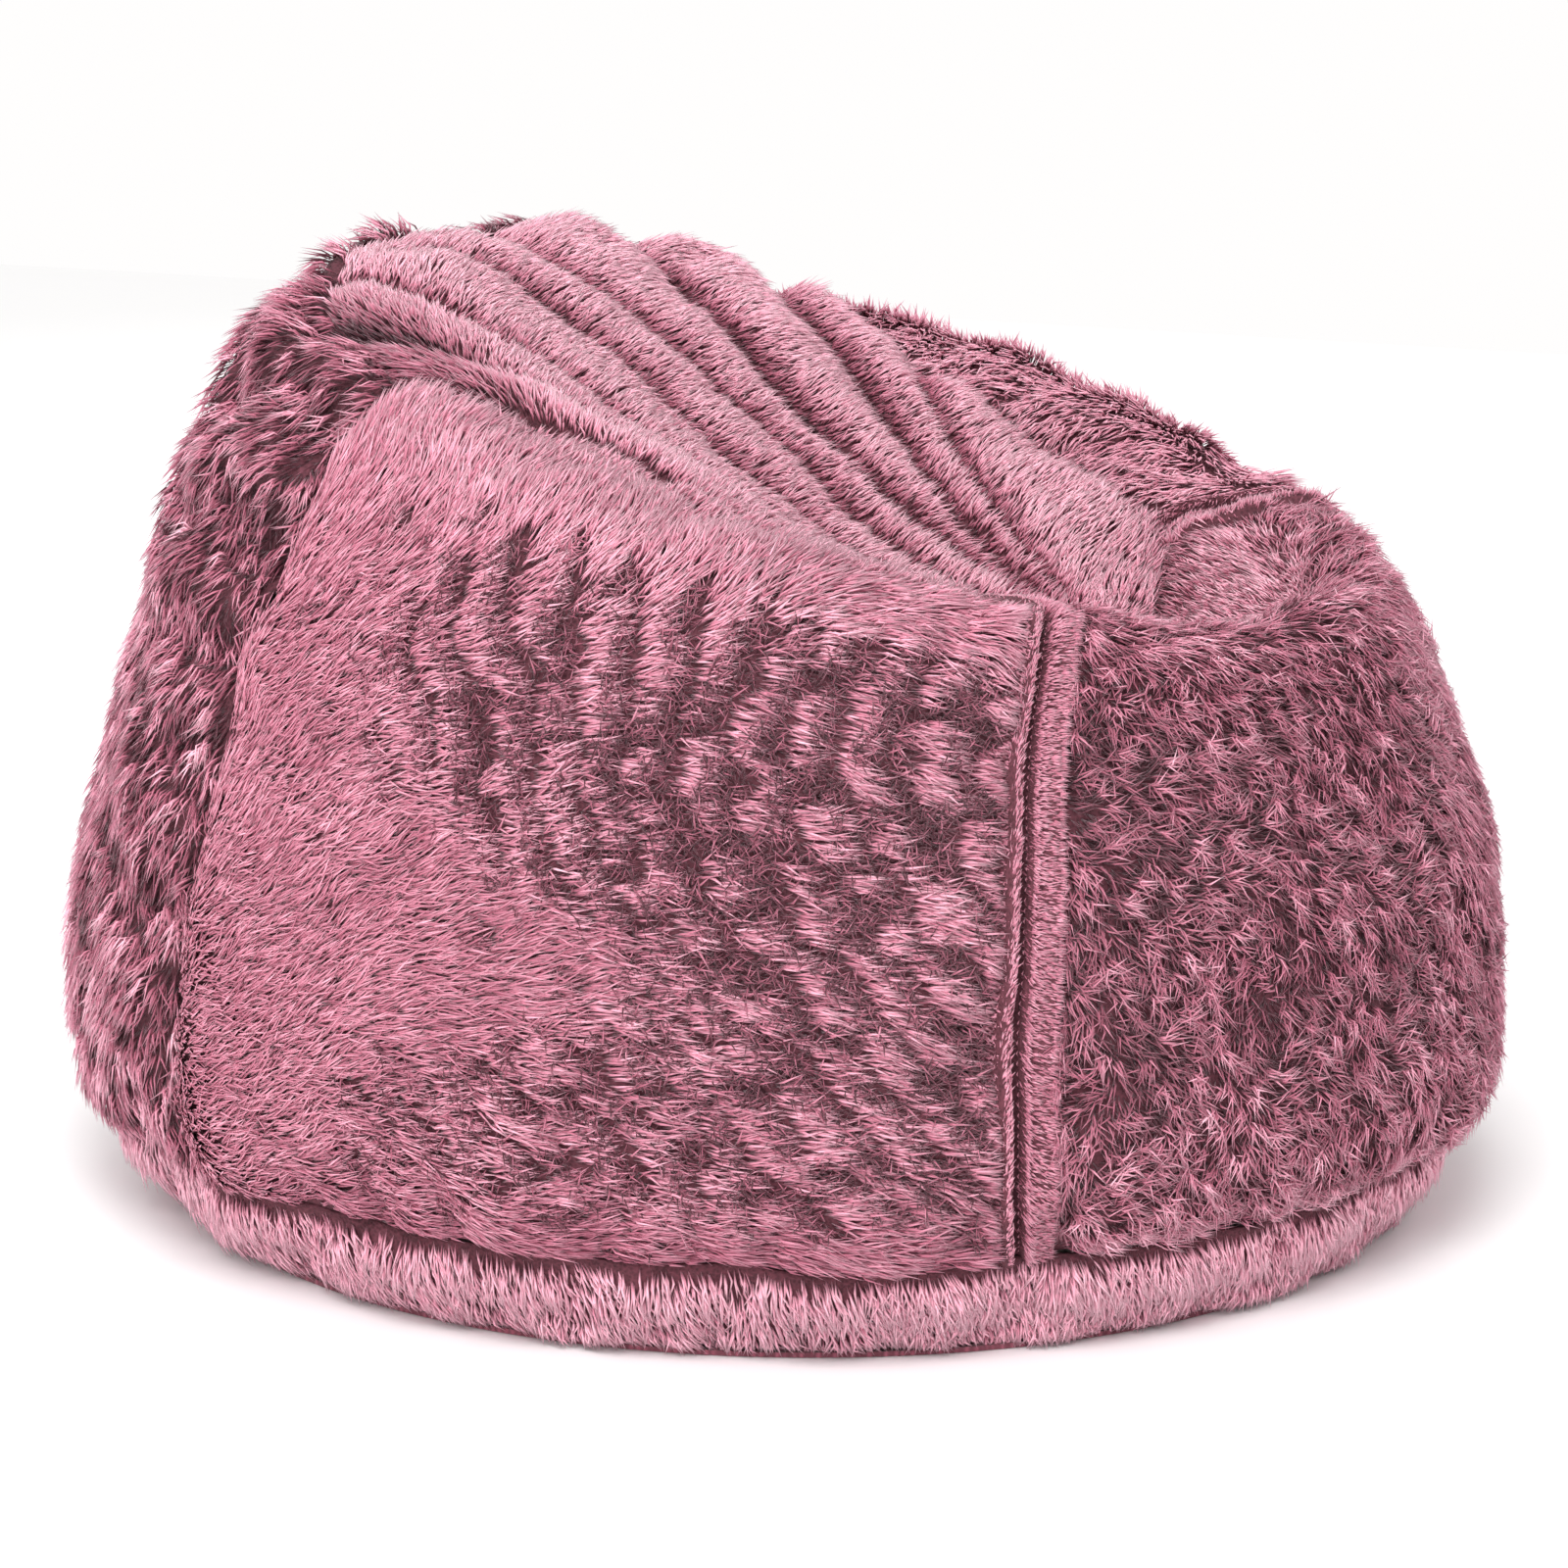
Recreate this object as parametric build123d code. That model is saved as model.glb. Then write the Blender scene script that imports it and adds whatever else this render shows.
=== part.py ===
from build123d import *
import os
from collections import namedtuple
import numpy as np

# Bean bag chair: a zipped long-pile cover of sewn panels, a zipped liner inside it, and a filling
# of loose polystyrene beads. Millimetres, +Z up, the sitter faces -Y. The origin is on the floor
# under the middle of the chair. "right" and "left" are the sitter's own.

# ---------------------------------------------------------------------------------------------
# Driving dimensions
# ---------------------------------------------------------------------------------------------

# The outside at rest is six ovals on top of each other, from the hem at the floor to the crest
# of the rim. An oval has a half width in X, a reach to the front and to the back from the middle,
# and a height at its front, at its sides and at its back.
Oval = namedtuple("Oval", "half_width front back z_front z_side z_back")

BASE_CLOTH = 3.0          # thickness of the flat woven cloth under the chair
SEAM_GAP = 0.9            # clearance between two panels at their seam
LAYER_GAP = 0.3           # clearance between two flat layers that lie on each other
LINER_CLEARANCE = 2.0     # the curved liner inside the cover, and its bottom inside its walls
BAND_HEIGHT = 55.0        # height of the seam on top of the base band

HEM_Z = BASE_CLOTH + LAYER_GAP
HEM = Oval(385, 408, 400, HEM_Z, HEM_Z, HEM_Z)
BAND_SEAM = Oval(428, 450, 452, BAND_HEIGHT, BAND_HEIGHT, BAND_HEIGHT)
GIRTH = Oval(446, 476, 476, 115, 140, 165)
WALL = Oval(432, 460, 436, 245, 290, 335)
SHOULDER = Oval(398, 424, 380, 352, 408, 488)
CREST = Oval(318, 375, 285, 412, 502, 606)

PIT_Y = -215.0            # the lowest point of the seat hollow, in front of the middle
PIT_Z = 365.0

FRONT_SEAM = 76.0         # angle of the front panel's side seams from straight ahead, degrees
BACK_SEAM = 141.0         # angle of the back panel's side seams
JUNCTION_X = 170.0        # where front, side and seat panels meet inside the hollow
JUNCTION_Y = -200.0
FRONT_SEAM_SAG = 25.0     # how far the seam between seat and front panel bows to the front

COVER_THICKNESS = 24.0    # knitted backing with its pile
LINER_THICKNESS = 1.5
LINER_DEPTH = COVER_THICKNESS + LINER_CLEARANCE

# Zips: the cover's zip lies in a pocket tucked up into the base, the liner's zip under its base.
ZIP_LENGTH = 560.0
LINER_ZIP_LENGTH = 420.0
LINER_ZIP_Y = -130.0
POCKET_CLEAR = 9.0        # free height under the pocket's roof
POCKET_ROOF = 3.0
POCKET_HALF_WIDTH = 26.0
POCKET_WALL = 3.0
POCKET_MARGIN = 10.0      # pocket length past each end of the zip tape
TAPE_WIDTH = 14.0
TAPE_THICKNESS = 1.2
TAPE_TAIL = 20.0          # tape past the last tooth at each end
ROW_GAP = 1.6             # the two rows of teeth stand apart so that the slider's web can pass
TOOTH_LENGTH = 1.6
TOOTH_WIDTH = 2.0
TOOTH_PITCH = 3.2
TOOTH_HEIGHT = 2.4
SPINE_WIDTH = 1.0
SLIDER_LENGTH = 20.0
SLIDER_PLATE = 1.4
SLIDER_LIP = 1.6
SLIDER_CLEARANCE = 0.3
EYELET_SIZE = (6.0, 2.0, 1.5)
STOP_LENGTH = 4.0
STOP_OVERLAP = 0.6        # how much taller a stop is than the teeth
SLOT_CLEARANCE = 2.0      # cloth and beads beside and above the slider

LINER_BASE_Z = POCKET_CLEAR + POCKET_ROOF + LAYER_GAP
FILL_BASE_Z = LINER_BASE_Z + LINER_THICKNESS + LAYER_GAP

LABEL_SIZE = (45.0, 28.0, 0.6)
LABEL_PLACE = (150.0, 70.0)

# Grids of points that the curved faces pass through.
COLUMNS_PER_TURN = 84
ROWS_PER_OVAL = 6
FACE_TOLERANCE = 0.8
FILL_COLUMNS = 40
FILL_WALL_ROWS = 16
FILL_HOLLOW_ROWS = 12
FILL_SETTLE = 6.0         # the beads sag this far off the liner's walls

os.makedirs("parts", exist_ok=True)


# ---------------------------------------------------------------------------------------------
# The outside shape as formulas
# ---------------------------------------------------------------------------------------------


def oval_at(oval, angle):
    """Distance from the pit's axis to the oval in this direction, and the oval's height there."""
    middle = (oval.back - oval.front) / 2
    half_depth = (oval.back + oval.front) / 2
    from_middle = PIT_Y - middle
    across, ahead = np.sin(angle) / oval.half_width, -np.cos(angle) / half_depth
    a = across**2 + ahead**2
    b = from_middle / half_depth * ahead
    c = (from_middle / half_depth) ** 2 - 1
    reach = (-b + np.sqrt(b * b - a * c)) / a
    share = (from_middle - reach * np.cos(angle)) / half_depth
    rise = (oval.z_back - oval.z_front) / 2
    bow = (oval.z_back + oval.z_front) / 2 - oval.z_side
    return reach, oval.z_side + rise * share + bow * share**2


def spline_weights(t, count, level_end):
    """Weights of the ovals in a cubic spline through them all; it may end level."""
    a = np.zeros((count, count))
    b = np.zeros((count, count))
    for i in range(1, count - 1):
        a[i, i - 1:i + 2] = 1, 4, 1
        b[i, i - 1:i + 2] = 6, -12, 6
    a[0, 0] = a[-1, -1] = 1
    if level_end:
        a[-1, -2:] = 1, 2
        b[-1, -2:] = 6, -6
    bend = np.linalg.solve(a, b)
    k = np.clip(np.floor(t).astype(int), 0, count - 2)
    u = (t - k)[..., None]
    unit = np.eye(count)
    straight = (1 - u) * unit[k] + u * unit[k + 1]
    return straight + ((1 - u) ** 3 - (1 - u)) / 6 * bend[k] + (u**3 - u) / 6 * bend[k + 1]


OVALS = (HEM, BAND_SEAM, GIRTH, WALL, SHOULDER, CREST)
AT_HEM, AT_BAND_SEAM, AT_CREST = 0, 1, len(OVALS) - 1


def wall_point(angle, t):
    """Point of the outer wall: t counts the ovals from the hem, 0, to the crest."""
    reach, height = zip(*(oval_at(oval, angle) for oval in OVALS))
    r = (spline_weights(t, len(OVALS), False) * np.stack(reach, -1)).sum(-1)
    z = (spline_weights(t, len(OVALS), True) * np.stack(height, -1)).sum(-1)
    return np.stack([r * np.sin(angle), PIT_Y - r * np.cos(angle), z], -1)


def hollow_point(x, y):
    """Point of the seat hollow: from the level crest it falls in a smooth S to the pit."""
    angle = np.arctan2(x, PIT_Y - y)
    reach, height = oval_at(CREST, angle)
    q = np.clip(np.hypot(x, y - PIT_Y) / reach, 0, 1)
    return np.stack([x, y, PIT_Z + (height - PIT_Z) * q * q * (3 - 2 * q)], -1)


def unit(v):
    return v / np.linalg.norm(v, axis=-1, keepdims=True)


def wall_normal(angle, t, step=1e-4):
    """Outward direction of the wall, turned level towards the hem so that the hem stays flat."""
    top = np.minimum(t + step, AT_CREST)
    along = wall_point(angle + step, t) - wall_point(angle - step, t)
    up = wall_point(angle, top) - wall_point(angle, top - 2 * step)
    normal = unit(np.cross(along, up))
    normal[..., 2] *= np.clip(t, 0, 1)
    return unit(normal)


def hollow_normal(x, y, step=0.05):
    along_x = hollow_point(x + step, y) - hollow_point(x - step, y)
    along_y = hollow_point(x, y + step) - hollow_point(x, y - step)
    return unit(np.cross(along_x, along_y))


# ---------------------------------------------------------------------------------------------
# Panels: a grid of points and outward directions, then a closed solid
# ---------------------------------------------------------------------------------------------


def over_the_rim(angles, end_x, end_y, t_start, rows):
    """Grid whose columns climb the wall at these angles and, past the crest, run straight in plan
    to the end points. Rows are spread evenly over each column's own length."""
    crest = wall_point(angles, np.full(angles.shape, float(AT_CREST)))
    run = np.hypot(end_x - crest[:, 0], end_y - crest[:, 1])
    inner = run / 90.0
    s = np.linspace(0, 1, rows)[:, None] * (AT_CREST - t_start + inner)[None, :]
    t = np.minimum(t_start + s, AT_CREST)
    share = np.clip((t_start + s - AT_CREST) / np.maximum(inner, 1e-9), 0, 1)
    angle = np.broadcast_to(angles, t.shape)
    x = crest[:, 0] + share * (end_x - crest[:, 0])
    y = crest[:, 1] + share * (end_y - crest[:, 1])
    inside = (share > 0)[..., None]
    points = np.where(inside, hollow_point(x, y), wall_point(angle, t))
    normals = np.where(inside, hollow_normal(x, y), wall_normal(angle, t))
    return points, normals


def pull_in(points, distance):
    """The grid with its four borders moved inwards along the surface by this distance."""
    p = points.copy()
    for axis in (0, 1):
        q = np.moveaxis(p, axis, 0)
        q[0] = q[0] + distance * unit(q[1] - q[0])
        q[-1] = q[-1] + distance * unit(q[-2] - q[-1])
    return p


def curved_face(points):
    """Smooth face that passes within FACE_TOLERANCE of every point of the grid."""
    rows = [[Vector(*map(float, p)) for p in row] for row in points]
    return Face.make_surface_from_array_of_points(rows, tol=FACE_TOLERANCE)


def panel_solid(points, normals, outer, inner):
    """Closed panel between two depths below the outside, with ruled faces along its borders."""
    skins = [pull_in(points - depth * normals, SEAM_GAP / 2) for depth in (outer, inner)]
    faces = [curved_face(skin) for skin in skins]
    borders = [
        (np.s_[0], np.s_[skins[0].shape[1] // 2]),
        (np.s_[-1], np.s_[skins[0].shape[1] // 2]),
        (np.s_[:, 0], np.s_[skins[0].shape[0] // 2]),
        (np.s_[:, -1], np.s_[skins[0].shape[0] // 2]),
    ]
    sides = []
    for border, middle in borders:
        edges = []
        for face, skin in zip(faces, skins):
            mark = Vector(*map(float, skin[border][middle]))
            edges.append(min(face.edges(), key=lambda edge: edge.distance_to(mark)))
        sides.append(Face.make_surface_from_curves(edges[0], edges[1]))
    return Solid(Shell(faces + sides)).fix()


def columns(start, end):
    """Angles in radians from start to end degrees, at the common spacing."""
    count = max(4, round(abs(end - start) / 360 * COLUMNS_PER_TURN)) + 1
    return np.radians(np.linspace(start, end, count))


def wall_panel(start, end, t_start, t_end):
    angles = columns(start, end)
    t = np.linspace(t_start, t_end, round((t_end - t_start) * ROWS_PER_OVAL) + 1)
    angle, t = np.meshgrid(angles, t)
    return wall_point(angle, t), wall_normal(angle, t)


def crest_plan(angle):
    reach, _ = oval_at(CREST, angle)
    return reach * np.sin(angle), PIT_Y - reach * np.cos(angle)


def front_seat_seam(share):
    """Plan of the seam between seat and front panel; share runs -1 to 1 across the hollow."""
    return JUNCTION_X * share, JUNCTION_Y - FRONT_SEAM_SAG * (1 - share**2)


def side_seat_seam(share):
    """Plan of the seam between seat and left side panel, from the junction to the crest."""
    corner_x, corner_y = crest_plan(np.radians(BACK_SEAM))
    x = JUNCTION_X + share * (corner_x - JUNCTION_X)
    y = JUNCTION_Y + share * (corner_y - JUNCTION_Y)
    return x, y


def front_panel(t_start):
    angles = columns(-FRONT_SEAM, FRONT_SEAM)
    end_x, end_y = front_seat_seam(np.linspace(-1, 1, len(angles)))
    return over_the_rim(angles, end_x, end_y, t_start, 6 * ROWS_PER_OVAL)


def side_panel(t_start):
    angles = columns(FRONT_SEAM, BACK_SEAM)
    end_x, end_y = side_seat_seam(np.linspace(0, 1, len(angles)))
    return over_the_rim(angles, end_x, end_y, t_start, 6 * ROWS_PER_OVAL)


def back_panel(t_start):
    return wall_panel(BACK_SEAM, 360 - BACK_SEAM, t_start, AT_CREST)


def seat_panel():
    """Rows run across the hollow, from the front seam back to the crest of the backrest."""
    angles = columns(360 - BACK_SEAM, BACK_SEAM)
    front_x, front_y = front_seat_seam(np.linspace(-1, 1, len(angles)))
    back_x, back_y = crest_plan(angles)
    v = np.linspace(0, 1, 5 * ROWS_PER_OVAL)[:, None]
    x = (1 - v) * front_x + v * back_x
    y = (1 - v) * front_y + v * back_y
    return hollow_point(x, y), hollow_normal(x, y)


def end_flat(points, z):
    """The grid with its lowest row brought onto a level plane."""
    flat = points.copy()
    flat[0, :, 2] = z
    return flat


def start_row(z):
    """Where on the first stretch of the wall, from hem to band seam, this height is."""
    return (z - HEM.z_side) / (BAND_SEAM.z_side - HEM.z_side)


# ---------------------------------------------------------------------------------------------
# Base, zips, liner and filling
# ---------------------------------------------------------------------------------------------


def box_between(low, high):
    """Box from its lowest to its highest corner."""
    size = [b - a for a, b in zip(low, high)]
    middle = [(a + b) / 2 for a, b in zip(low, high)]
    return Pos(*middle) * Box(*size)


def flat_oval(half_width, front, back, low, high):
    middle = (back - front) / 2
    outline = Pos(0, middle, low) * Ellipse(half_width, (back + front) / 2)
    return extrude(outline, high - low)


POCKET_HALF_LENGTH = ZIP_LENGTH / 2 + TAPE_TAIL + POCKET_MARGIN
TAPE_Z = POCKET_CLEAR - TAPE_THICKNESS / 2
LINER_TAPE_Z = LINER_BASE_Z - TAPE_THICKNESS / 2
SLIDER_HALF_WIDTH = ROW_GAP / 2 + TOOTH_LENGTH + SPINE_WIDTH + SLIDER_CLEARANCE + SLIDER_LIP
SLOT_HALF_WIDTH = SLIDER_HALF_WIDTH + SLOT_CLEARANCE


def slot_box(length, y, low, high):
    """Long slot over a zip, wide enough for the slider and long enough for the stops."""
    half = length / 2 + STOP_LENGTH
    return box_between((-half, y - SLOT_HALF_WIDTH, low), (half, y + SLOT_HALF_WIDTH, high))


def base_panel(front):
    """Half of the flat base cloth, with its half of the pocket that the zip lies in."""
    roof_z = POCKET_CLEAR + POCKET_ROOF
    wall_x, wall_y = POCKET_HALF_LENGTH + POCKET_WALL, POCKET_HALF_WIDTH + POCKET_WALL
    cloth = flat_oval(HEM.half_width, HEM.front, HEM.back, 0, BASE_CLOTH)
    cloth += box_between((-wall_x, -wall_y, 0), (wall_x, wall_y, roof_z))
    cloth -= box_between(
        (-POCKET_HALF_LENGTH, -POCKET_HALF_WIDTH, -1),
        (POCKET_HALF_LENGTH, POCKET_HALF_WIDTH, POCKET_CLEAR),
    )
    cloth -= slot_box(ZIP_LENGTH, 0, 0, roof_z + 1)
    far = HEM.half_width + HEM.front + HEM.back
    side = (-far, -LAYER_GAP / 2) if front else (LAYER_GAP / 2, far)
    return cloth & box_between((-far, side[0], -1), (far, side[1], roof_z + 1))


def zip_tape(length, y, z, side):
    inner = ROW_GAP / 2 + TOOTH_LENGTH + SPINE_WIDTH
    y_range = sorted((y + side * inner, y + side * (inner + TAPE_WIDTH)))
    half = length / 2 + TAPE_TAIL
    half_thick = TAPE_THICKNESS / 2
    return box_between((-half, y_range[0], z - half_thick), (half, y_range[1], z + half_thick))


def zip_teeth(length, y, z, side):
    """One row of teeth on its spine, cut as a comb from one outline."""
    tip, root = ROW_GAP / 2, ROW_GAP / 2 + TOOTH_LENGTH
    count = int(length // TOOTH_PITCH)
    start = -count * TOOTH_PITCH / 2
    outline = [(start, root + SPINE_WIDTH)]
    for i in range(count):
        tooth = start + i * TOOTH_PITCH + (TOOTH_PITCH - TOOTH_WIDTH) / 2
        outline += [(tooth, root), (tooth, tip), (tooth + TOOTH_WIDTH, tip), (tooth + TOOTH_WIDTH, root)]
    outline.insert(1, (start, root))
    outline += [(-start, root), (-start, root + SPINE_WIDTH)]
    points = [(x, y + side * across) for x, across in outline]
    comb = make_face(Polyline(*points, close=True))
    return extrude(Pos(0, 0, z - TOOTH_HEIGHT / 2) * comb, TOOTH_HEIGHT, dir=(0, 0, 1))


def chain_half_length(length):
    """Half the length of the row of teeth itself."""
    return int(length // TOOTH_PITCH) * TOOTH_PITCH / 2


def zip_stop(length, y, z, end):
    """Stop that clamps both rows together at one end of the chain."""
    half_width = ROW_GAP / 2 + TOOTH_LENGTH + SPINE_WIDTH
    half_height = (TOOTH_HEIGHT + STOP_OVERLAP) / 2
    near = chain_half_length(length)
    x_range = sorted((end * near, end * (near + STOP_LENGTH)))
    return box_between(
        (x_range[0], y - half_width, z - half_height), (x_range[1], y + half_width, z + half_height)
    )


def zip_slider(length, y, z):
    """Slider at the closed end: two lipped plates, a web between the rows and a key eyelet."""
    far = chain_half_length(length) - SLIDER_CLEARANCE
    near = far - SLIDER_LENGTH
    plate_low = TOOTH_HEIGHT / 2 + SLIDER_CLEARANCE
    plate_high = plate_low + SLIDER_PLATE
    web = ROW_GAP / 2 - SLIDER_CLEARANCE
    lip_low = TAPE_THICKNESS / 2 + SLIDER_CLEARANCE
    width = SLIDER_HALF_WIDTH
    body = box_between((near, y - web, z - plate_high), (far, y + web, z + plate_high))
    for side in (-1, 1):
        plate = sorted((z + side * plate_low, z + side * plate_high))
        lip = sorted((z + side * lip_low, z + side * plate_high))
        body += box_between((near, y - width, plate[0]), (far, y + width, plate[1]))
        for edge in (-1, 1):
            across = sorted((y + edge * width, y + edge * (width - SLIDER_LIP)))
            body += box_between((near, across[0], lip[0]), (far, across[1], lip[1]))
    long, wide, high = EYELET_SIZE
    middle = (near + far) / 2
    bottom = z - plate_high
    eyelet = box_between(
        (middle - long / 2, y - wide / 2, bottom - high), (middle + long / 2, y + wide / 2, bottom)
    )
    hole = Pos(middle, y, bottom - high / 2) * Rot(90, 0, 0) * Cylinder(high / 3, wide * 2)
    return body + (eyelet - hole)


def liner_panel(grid):
    """Panel of the liner: the cover's pattern, one cover thickness further in."""
    points, normals = grid(start_row(LINER_BASE_Z))
    return panel_solid(
        end_flat(points, LINER_BASE_Z), normals, LINER_DEPTH, LINER_DEPTH + LINER_THICKNESS
    )


def liner_base():
    """Flat bottom of the liner, inside its walls, with a slot over the zip."""
    inset = LINER_DEPTH + LINER_THICKNESS + LINER_CLEARANCE
    angles = columns(0, 360)[:-1]
    t = np.full(angles.shape, start_row(LINER_BASE_Z))
    edge = wall_point(angles, t) - inset * wall_normal(angles, t)
    outline = make_face(Polyline(*[(float(x), float(y)) for x, y, _ in edge], close=True))
    cloth = extrude(Pos(0, 0, LINER_BASE_Z) * outline, LINER_THICKNESS, dir=(0, 0, 1))
    return cloth - slot_box(LINER_ZIP_LENGTH, LINER_ZIP_Y, LINER_BASE_Z - 1, FILL_BASE_Z)


def bead_fill():
    """The beads as one closed body of flat facets inside the liner, clear of the liner's zip."""
    depth = LINER_DEPTH + LINER_THICKNESS + FILL_SETTLE
    angles = np.linspace(0, 2 * np.pi, FILL_COLUMNS, endpoint=False)
    t = np.linspace(start_row(FILL_BASE_Z), AT_CREST, FILL_WALL_ROWS)
    angle, t = np.meshgrid(angles, t)
    climb = end_flat(wall_point(angle, t) - depth * wall_normal(angle, t), FILL_BASE_Z)
    crest_x, crest_y = crest_plan(angles)
    share = np.linspace(1, 0, FILL_HOLLOW_ROWS + 1)[1:-1, None]
    x, y = share * crest_x, PIT_Y + share * (crest_y - PIT_Y)
    fall = hollow_point(x, y) - depth * hollow_normal(x, y)
    rows = np.concatenate([climb, fall])
    corners = [[Vector(*map(float, p)) for p in row] for row in rows]
    pit = Vector(0, PIT_Y, PIT_Z - depth)
    faces = [Face(Wire.make_polygon(corners[0]))]
    for i in range(FILL_COLUMNS):
        j = (i + 1) % FILL_COLUMNS
        for low, high in zip(corners, corners[1:]):
            faces.append(Face(Wire.make_polygon([low[i], low[j], high[j]])))
            faces.append(Face(Wire.make_polygon([low[i], high[j], high[i]])))
        faces.append(Face(Wire.make_polygon([corners[-1][i], corners[-1][j], pit])))
    body = Solid(Shell(faces)).fix()
    groove_top = FILL_BASE_Z + SLOT_CLEARANCE
    return body - slot_box(LINER_ZIP_LENGTH, LINER_ZIP_Y, FILL_BASE_Z - 1, groove_top)


def care_label():
    long, wide, thick = LABEL_SIZE
    x, y = LABEL_PLACE
    return Pos(x, y, BASE_CLOTH + thick / 2) * Box(long, wide, thick)


# ---------------------------------------------------------------------------------------------
# Nodes
# ---------------------------------------------------------------------------------------------

nodes = {}

cover = {
    "front_panel": front_panel(AT_BAND_SEAM),
    "back_panel": back_panel(AT_BAND_SEAM),
    "side_panel_left": side_panel(AT_BAND_SEAM),
    "seat_panel": seat_panel(),
    "base_band_front": wall_panel(-90, 90, AT_HEM, AT_BAND_SEAM),
    "base_band_back": wall_panel(90, 270, AT_HEM, AT_BAND_SEAM),
}
for name, (points, normals) in cover.items():
    nodes[name] = panel_solid(points, normals, 0, COVER_THICKNESS)
nodes["side_panel_right"] = mirror(nodes["side_panel_left"], Plane.YZ)

nodes["base_panel_front"] = base_panel(True)
nodes["base_panel_back"] = base_panel(False)
nodes["care_label"] = care_label()

zips = (
    ("cover_zip", ZIP_LENGTH, 0.0, TAPE_Z),
    ("liner_zip", LINER_ZIP_LENGTH, LINER_ZIP_Y, LINER_TAPE_Z),
)
for name, length, y, z in zips:
    for side, word in ((-1, "front"), (1, "back")):
        nodes[f"{name}_tape_{word}"] = zip_tape(length, y, z, side)
        nodes[f"{name}_teeth_{word}"] = zip_teeth(length, y, z, side)
    nodes[f"{name}_stop_left"] = zip_stop(length, y, z, 1)
    nodes[f"{name}_stop_right"] = zip_stop(length, y, z, -1)
    nodes[f"{name}_slider"] = zip_slider(length, y, z)
    print(name, "slider travel", 2 * (chain_half_length(length) - SLIDER_CLEARANCE) - SLIDER_LENGTH)

nodes["liner_front"] = liner_panel(front_panel)
nodes["liner_back"] = liner_panel(back_panel)
nodes["liner_side_left"] = liner_panel(side_panel)
nodes["liner_side_right"] = mirror(nodes["liner_side_left"], Plane.YZ)
seat_points, seat_normals = seat_panel()
nodes["liner_seat"] = panel_solid(
    seat_points, seat_normals, LINER_DEPTH, LINER_DEPTH + LINER_THICKNESS
)
nodes["liner_base"] = liner_base()
nodes["bead_fill"] = bead_fill()

for name, shape in nodes.items():
    export_step(shape, f"parts/{name}.step")
    print(name, len(shape.solids()), round(shape.volume), shape.is_valid)
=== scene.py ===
# %% [markdown]
# # A bean bag chair in long-pile fake fur
# The chair is a soft bag of beads. Its cover is sewn from seven panels of fake fur on a flat woven base, and a
# knitted backing carries the pile. In Blender the pile could be a hair system, but hair is lost when the model
# is exported. So each lock of pile is a small closed mesh, and all locks of a panel are one piece.
# The CAD model holds the sizes; this script dresses it.

# %% Load the frame
import math
from collections import namedtuple

import bpy
import numpy as np
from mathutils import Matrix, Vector


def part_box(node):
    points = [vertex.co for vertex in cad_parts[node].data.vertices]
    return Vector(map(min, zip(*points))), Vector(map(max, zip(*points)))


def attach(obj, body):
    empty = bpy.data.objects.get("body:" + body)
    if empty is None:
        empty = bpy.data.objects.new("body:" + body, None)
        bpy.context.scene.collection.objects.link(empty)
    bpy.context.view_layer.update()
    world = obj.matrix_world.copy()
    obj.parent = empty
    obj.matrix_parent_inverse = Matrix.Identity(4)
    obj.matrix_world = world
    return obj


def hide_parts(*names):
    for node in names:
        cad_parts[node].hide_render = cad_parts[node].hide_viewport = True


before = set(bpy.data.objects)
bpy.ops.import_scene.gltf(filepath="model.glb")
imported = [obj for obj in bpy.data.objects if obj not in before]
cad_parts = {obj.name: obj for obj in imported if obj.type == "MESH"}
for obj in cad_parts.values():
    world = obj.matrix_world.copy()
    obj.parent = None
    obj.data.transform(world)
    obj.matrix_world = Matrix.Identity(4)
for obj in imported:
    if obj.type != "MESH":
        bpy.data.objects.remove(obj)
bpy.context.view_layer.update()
CHAIR = "chair"

# %% [markdown]
# ## The outside as a formula
# The chair at rest is a stack of ovals, from the hem at the floor to the crest of the rim. A lathe would need
# round sections and a level rim, and sculpting would never meet the CAD again. So the wall is worked out the
# way the design is: each oval has a half width, a reach to the front and to the back, and a height at its
# front, sides and back. A cubic spline climbs through the ovals, and the seat hollow falls in a smooth S from
# the crest to the pit.

# %% Ovals of the outside, in metres
HEM_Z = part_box("base_band_front")[0][2]
BAND_Z = 0.055
OVALS = np.array(
    [
        (0.385, 0.408, 0.400, HEM_Z, HEM_Z, HEM_Z),
        (0.428, 0.450, 0.452, BAND_Z, BAND_Z, BAND_Z),
        (0.446, 0.476, 0.476, 0.115, 0.140, 0.165),
        (0.432, 0.460, 0.436, 0.245, 0.290, 0.335),
        (0.398, 0.424, 0.380, 0.352, 0.408, 0.488),
        (0.318, 0.375, 0.285, 0.412, 0.502, 0.606),
    ]
)
CREST = OVALS[-1]
AT_SEAM, AT_CREST = 1, len(OVALS) - 1
PIT_Y, PIT_Z = -0.215, 0.365
FRONT_SEAM, BACK_SEAM = math.radians(76), math.radians(141)
JUNCTION_X, JUNCTION_Y, SEAM_SAG = 0.170, -0.200, 0.025


def oval_at(oval, angle):
    """Distance from the pit's axis to the oval: the positive root of the ray put into the oval's equation.
    The height is the parabola through the oval's front, side and back heights."""
    half_width, front, back, z_front, z_side, z_back = oval
    middle, half_depth = (back - front) / 2, (back + front) / 2
    across, ahead = np.sin(angle) / half_width, -np.cos(angle) / half_depth
    offset = (PIT_Y - middle) / half_depth
    a, b, c = across**2 + ahead**2, offset * ahead, offset**2 - 1
    reach = (-b + np.sqrt(b * b - a * c)) / a
    share = offset + reach * ahead
    return reach, z_side + (z_back - z_front) / 2 * share + ((z_back + z_front) / 2 - z_side) * share**2


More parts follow.
